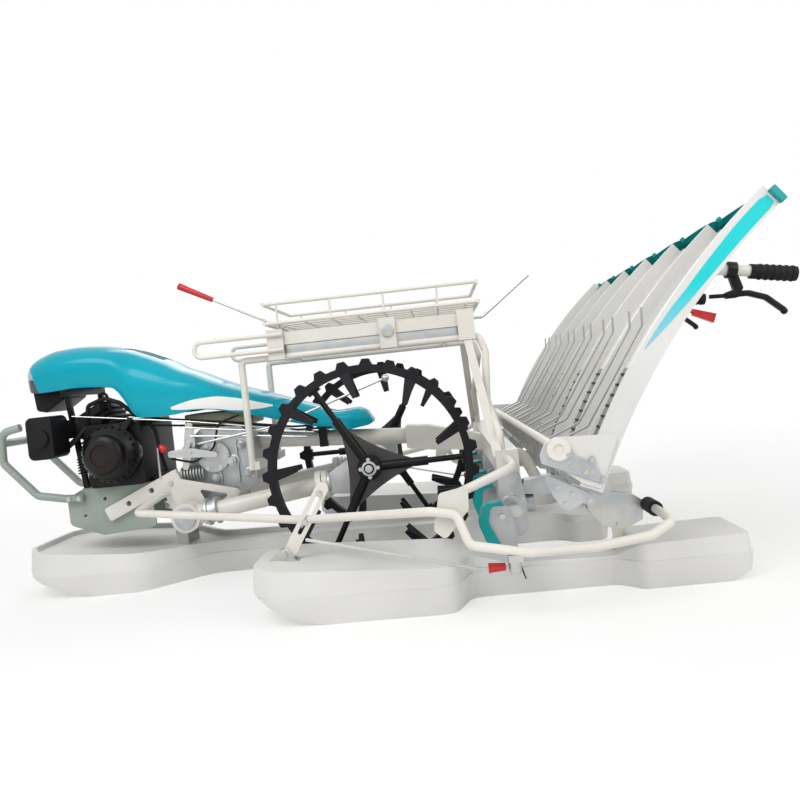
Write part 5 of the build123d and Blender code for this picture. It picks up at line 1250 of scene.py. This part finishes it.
class TRANSPLANTER_OT_finishes(bpy.types.Operator):
    """Give every CAD node the finish of its material slot"""
    bl_idname = "transplanter.finishes"
    bl_label = "Finishes"

    def execute(self, context):
        for node, slot in SLOT_OF.items():
            mesh = frame["nodes"][node].data
            mesh.materials.clear()
            mesh.materials.append(material_of(slot))
        return {"FINISHED"}


class TRANSPLANTER_OT_stage(bpy.types.Operator):
    """Put down the floor, the lamps and the camera"""
    bl_idname = "transplanter.stage"
    bl_label = "Stage"

    def execute(self, context):
        sizes = context.scene.transplanter_stage
        make_floor(sizes)
        make_lamps(sizes)
        make_camera(sizes)
        context.scene.view_settings.view_transform = "Standard"
        return {"FINISHED"}


def make_floor(sizes):
    """A large pale floor that the camera sees fade to white further out."""
    mesh = bpy.data.meshes.new("floor")
    half = sizes.floor_size / 2
    corners = [(-half, -half, 0), (half, -half, 0), (half, half, 0), (-half, half, 0)]
    mesh.from_pydata(corners, [], [(0, 1, 2, 3)])
    floor = placed("floor", mesh)
    material, tree, shader, where = start_material("pale_floor", 0.9)
    shader.inputs["Base Color"].default_value = linear("#F6F6F5")
    reach = add(tree, "ShaderNodeVectorMath", {0: where}, operation="LENGTH").outputs["Value"]
    fade = add(tree, "ShaderNodeMapRange", {
        "Value": reach, "From Min": sizes.floor_clear, "From Max": sizes.floor_fade,
        "To Min": sizes.floor_veil, "To Max": 1.0}, interpolation_type="SMOOTHSTEP")
    seen = add(tree, "ShaderNodeLightPath").outputs["Is Camera Ray"]
    share = add(tree, "ShaderNodeMath", {0: fade.outputs["Result"], 1: seen}, operation="MULTIPLY")
    veil = add(tree, "ShaderNodeBsdfTransparent")
    mixed = add(tree, "ShaderNodeMixShader", {
        "Fac": share.outputs[0], 1: shader.outputs["BSDF"], 2: veil.outputs["BSDF"]})
    tree.links.new(mixed.outputs[0], tree.nodes["Material Output"].inputs["Surface"])
    mesh.materials.append(material)


def make_lamps(sizes):
    """A world that is white to the camera, in reflections and through glass, and three soft area lamps."""
    world = bpy.data.worlds.new("studio")
    bpy.context.scene.world = world
    world.use_nodes = True
    tree = world.node_tree
    background = tree.nodes["Background"]
    background.inputs["Color"].default_value = linear("#FFFFFF")
    rays = add(tree, "ShaderNodeLightPath").outputs
    seen = rays["Is Camera Ray"]
    for ray in ("Is Glossy Ray", "Is Transmission Ray"):
        seen = add(tree, "ShaderNodeMath", {0: seen, 1: rays[ray]}, operation="MAXIMUM").outputs[0]
    strength = add(tree, "ShaderNodeMapRange", {"Value": seen, "To Min": sizes.world_light, "To Max": 1.0})
    tree.links.new(strength.outputs["Result"], background.inputs["Strength"])
    # name, place, share of the lamp power, size
    for name, place, share, size in (
            ("key_lamp", (1.6, 3.2, 3.6), 1.0, 2.6), ("fill_lamp", (-3.2, 2.6, 2.6), 0.55, 3.0),
            ("back_lamp", (0.4, -3.4, 3.2), 0.6, 3.0)):
        light = bpy.data.lights.new(name, "AREA")
        light.energy = share * sizes.lamp_power
        light.size = size
        lamp = placed(name, light)
        lamp.location = place
        lamp.rotation_euler = (Vector(LAMP_AIM) - Vector(place)).to_track_quat("-Z", "Y").to_euler()


def make_camera(sizes):
    """The camera on the machine's left, level with the basket and rolled a little."""
    data = bpy.data.cameras.new("camera")
    data.lens = sizes.lens
    data.sensor_width = SENSOR_WIDTH
    camera = placed("camera", data)
    camera.matrix_world = Matrix.Translation(sizes.camera_place) @ camera_turn(sizes)
    bpy.context.scene.camera = camera


def camera_turn(sizes):
    """The camera's turn, from where level lines into depth meet and how far the frame leans."""
    back = -Vector((sizes.depth_right, sizes.depth_up, 1.0)).normalized()
    lean = sizes.camera_roll
    rise = (back.x * math.cos(lean) + back.y * math.sin(lean)) / -back.z
    rear = Vector((math.cos(lean), math.sin(lean), rise)).normalized()
    up = rear.cross(-back)
    up = up if up.y > 0 else -up
    # rows: the machine's axes, seen by a camera whose axes are right, up and back
    return Matrix([(row.x, row.y, -row.z) for row in (-rear, back, up)]).to_4x4()


# ------------------------------------------------------------------ add-on

class TransplanterColours(bpy.types.PropertyGroup):
    """Colours that stand out"""
    hood: FloatVectorProperty(
        name="Hood", description="Colour of the moulded hood", size=3, subtype="COLOR", min=0.0, max=1.0,
        default=linear("#009AAE")[:3])
    stripe: FloatVectorProperty(
        name="Stripe", description="Colour of the stripes on the platform's ends", size=3, subtype="COLOR",
        min=0.0, max=1.0, default=linear("#06C9CC")[:3])


class TransplanterHood(bpy.types.PropertyGroup):
    """Sizes of the hood"""
    wall: FloatProperty(
        name="Wall", description="Thickness of the hood's wall", default=0.004, unit="LENGTH")
    vent_rear: FloatProperty(
        name="Vent rear", description="X of the vent's rear edge", default=0.722, unit="LENGTH")
    vent_front: FloatProperty(
        name="Vent front", description="X of the vent's front edge", default=0.850, unit="LENGTH")
    vent_half: FloatProperty(
        name="Vent half width", description="Half of the vent's width", default=0.062, unit="LENGTH")
    vent_slats: IntProperty(name="Slats", description="Number of slats across the vent", default=7, min=1)


class TransplanterPlatform(bpy.types.PropertyGroup):
    """Sizes of the caps on the platform's walls"""
    end_cap: FloatProperty(
        name="End cap", description="Half width of the caps on the two end walls", default=0.009,
        unit="LENGTH")
    wall_cap: FloatProperty(
        name="Wall cap", description="Half width of the caps on the walls between lanes", default=0.007,
        unit="LENGTH")


class TransplanterWheels(bpy.types.PropertyGroup):
    """Sizes of the webs in the wheels"""
    web_reach: FloatProperty(
        name="Web reach", description="How far the web reaches along each spoke", default=0.170,
        unit="LENGTH")
    web_dip: FloatProperty(
        name="Web dip", description="The web's radius midway between two spokes", default=0.066,
        unit="LENGTH")


class TransplanterStage(bpy.types.PropertyGroup):
    """Floor, light and camera"""
    floor_size: FloatProperty(name="Floor", description="Side of the floor", default=40.0, unit="LENGTH")
    floor_clear: FloatProperty(
        name="Floor clear", description="How far out the floor shows fully", default=1.6, unit="LENGTH")
    floor_fade: FloatProperty(
        name="Floor fade", description="How far out the floor has faded to white", default=4.0,
        unit="LENGTH")
    floor_veil: FloatProperty(
        name="Floor veil", description="Share of white laid over the whole floor", default=0.5)
    world_light: FloatProperty(
        name="World light", description="Strength of the light from all round", default=0.55)
    lamp_power: FloatProperty(
        name="Lamp power", description="Power of the main lamp, in watts", default=106.0)
    lens: FloatProperty(name="Lens", description="Focal length in millimetres", default=35.19)
    camera_place: FloatVectorProperty(
        name="Camera place", description="Where the camera stands", size=3, default=(-0.195, 2.66, 0.585),
        subtype="TRANSLATION", unit="LENGTH")
    camera_roll: FloatProperty(
        name="Roll", description="How far the camera leans", default=math.radians(5.9), subtype="ANGLE")
    depth_right: FloatProperty(
        name="Depth right", description="Where lines into depth meet, right of the middle", default=0.0473)
    depth_up: FloatProperty(
        name="Depth up", description="Where lines into depth meet, above the middle", default=0.03325)


class TRANSPLANTER_PT_panel(bpy.types.Panel):
    """The machine's finishes and pieces"""
    bl_label = "Transplanter"
    bl_space_type = "VIEW_3D"
    bl_region_type = "UI"
    bl_category = "Transplanter"

    def draw(self, context):
        for operator in OPERATORS:
            self.layout.operator(operator.bl_idname)


GROUPS = {
    "transplanter_colours": TransplanterColours, "transplanter_hood": TransplanterHood,
    "transplanter_platform": TransplanterPlatform, "transplanter_wheels": TransplanterWheels,
    "transplanter_stage": TransplanterStage}
OPERATORS = [
    TRANSPLANTER_OT_finishes, TRANSPLANTER_OT_mouldings, TRANSPLANTER_OT_hood, TRANSPLANTER_OT_platform,
    TRANSPLANTER_OT_wheels, TRANSPLANTER_OT_arms, TRANSPLANTER_OT_engine, TRANSPLANTER_OT_fasteners,
    TRANSPLANTER_OT_stage]


def register():
    """Makes the property groups, the operators and the panel known to Blender."""
    for kind in [*GROUPS.values(), *OPERATORS, TRANSPLANTER_PT_panel]:
        bpy.utils.register_class(kind)
    for name, group in GROUPS.items():
        setattr(bpy.types.Scene, name, PointerProperty(type=group))


def unregister():
    """Takes back what register() did, the last first."""
    for name in GROUPS:
        delattr(bpy.types.Scene, name)
    for kind in reversed([*GROUPS.values(), *OPERATORS, TRANSPLANTER_PT_panel]):
        bpy.utils.unregister_class(kind)


def main():
    """Dresses the CAD model operator by operator."""
    register()
    for operator in OPERATORS:
        family, action = operator.bl_idname.split(".")
        getattr(getattr(bpy.ops, family), action)()


if __name__ == "__main__":
    main()
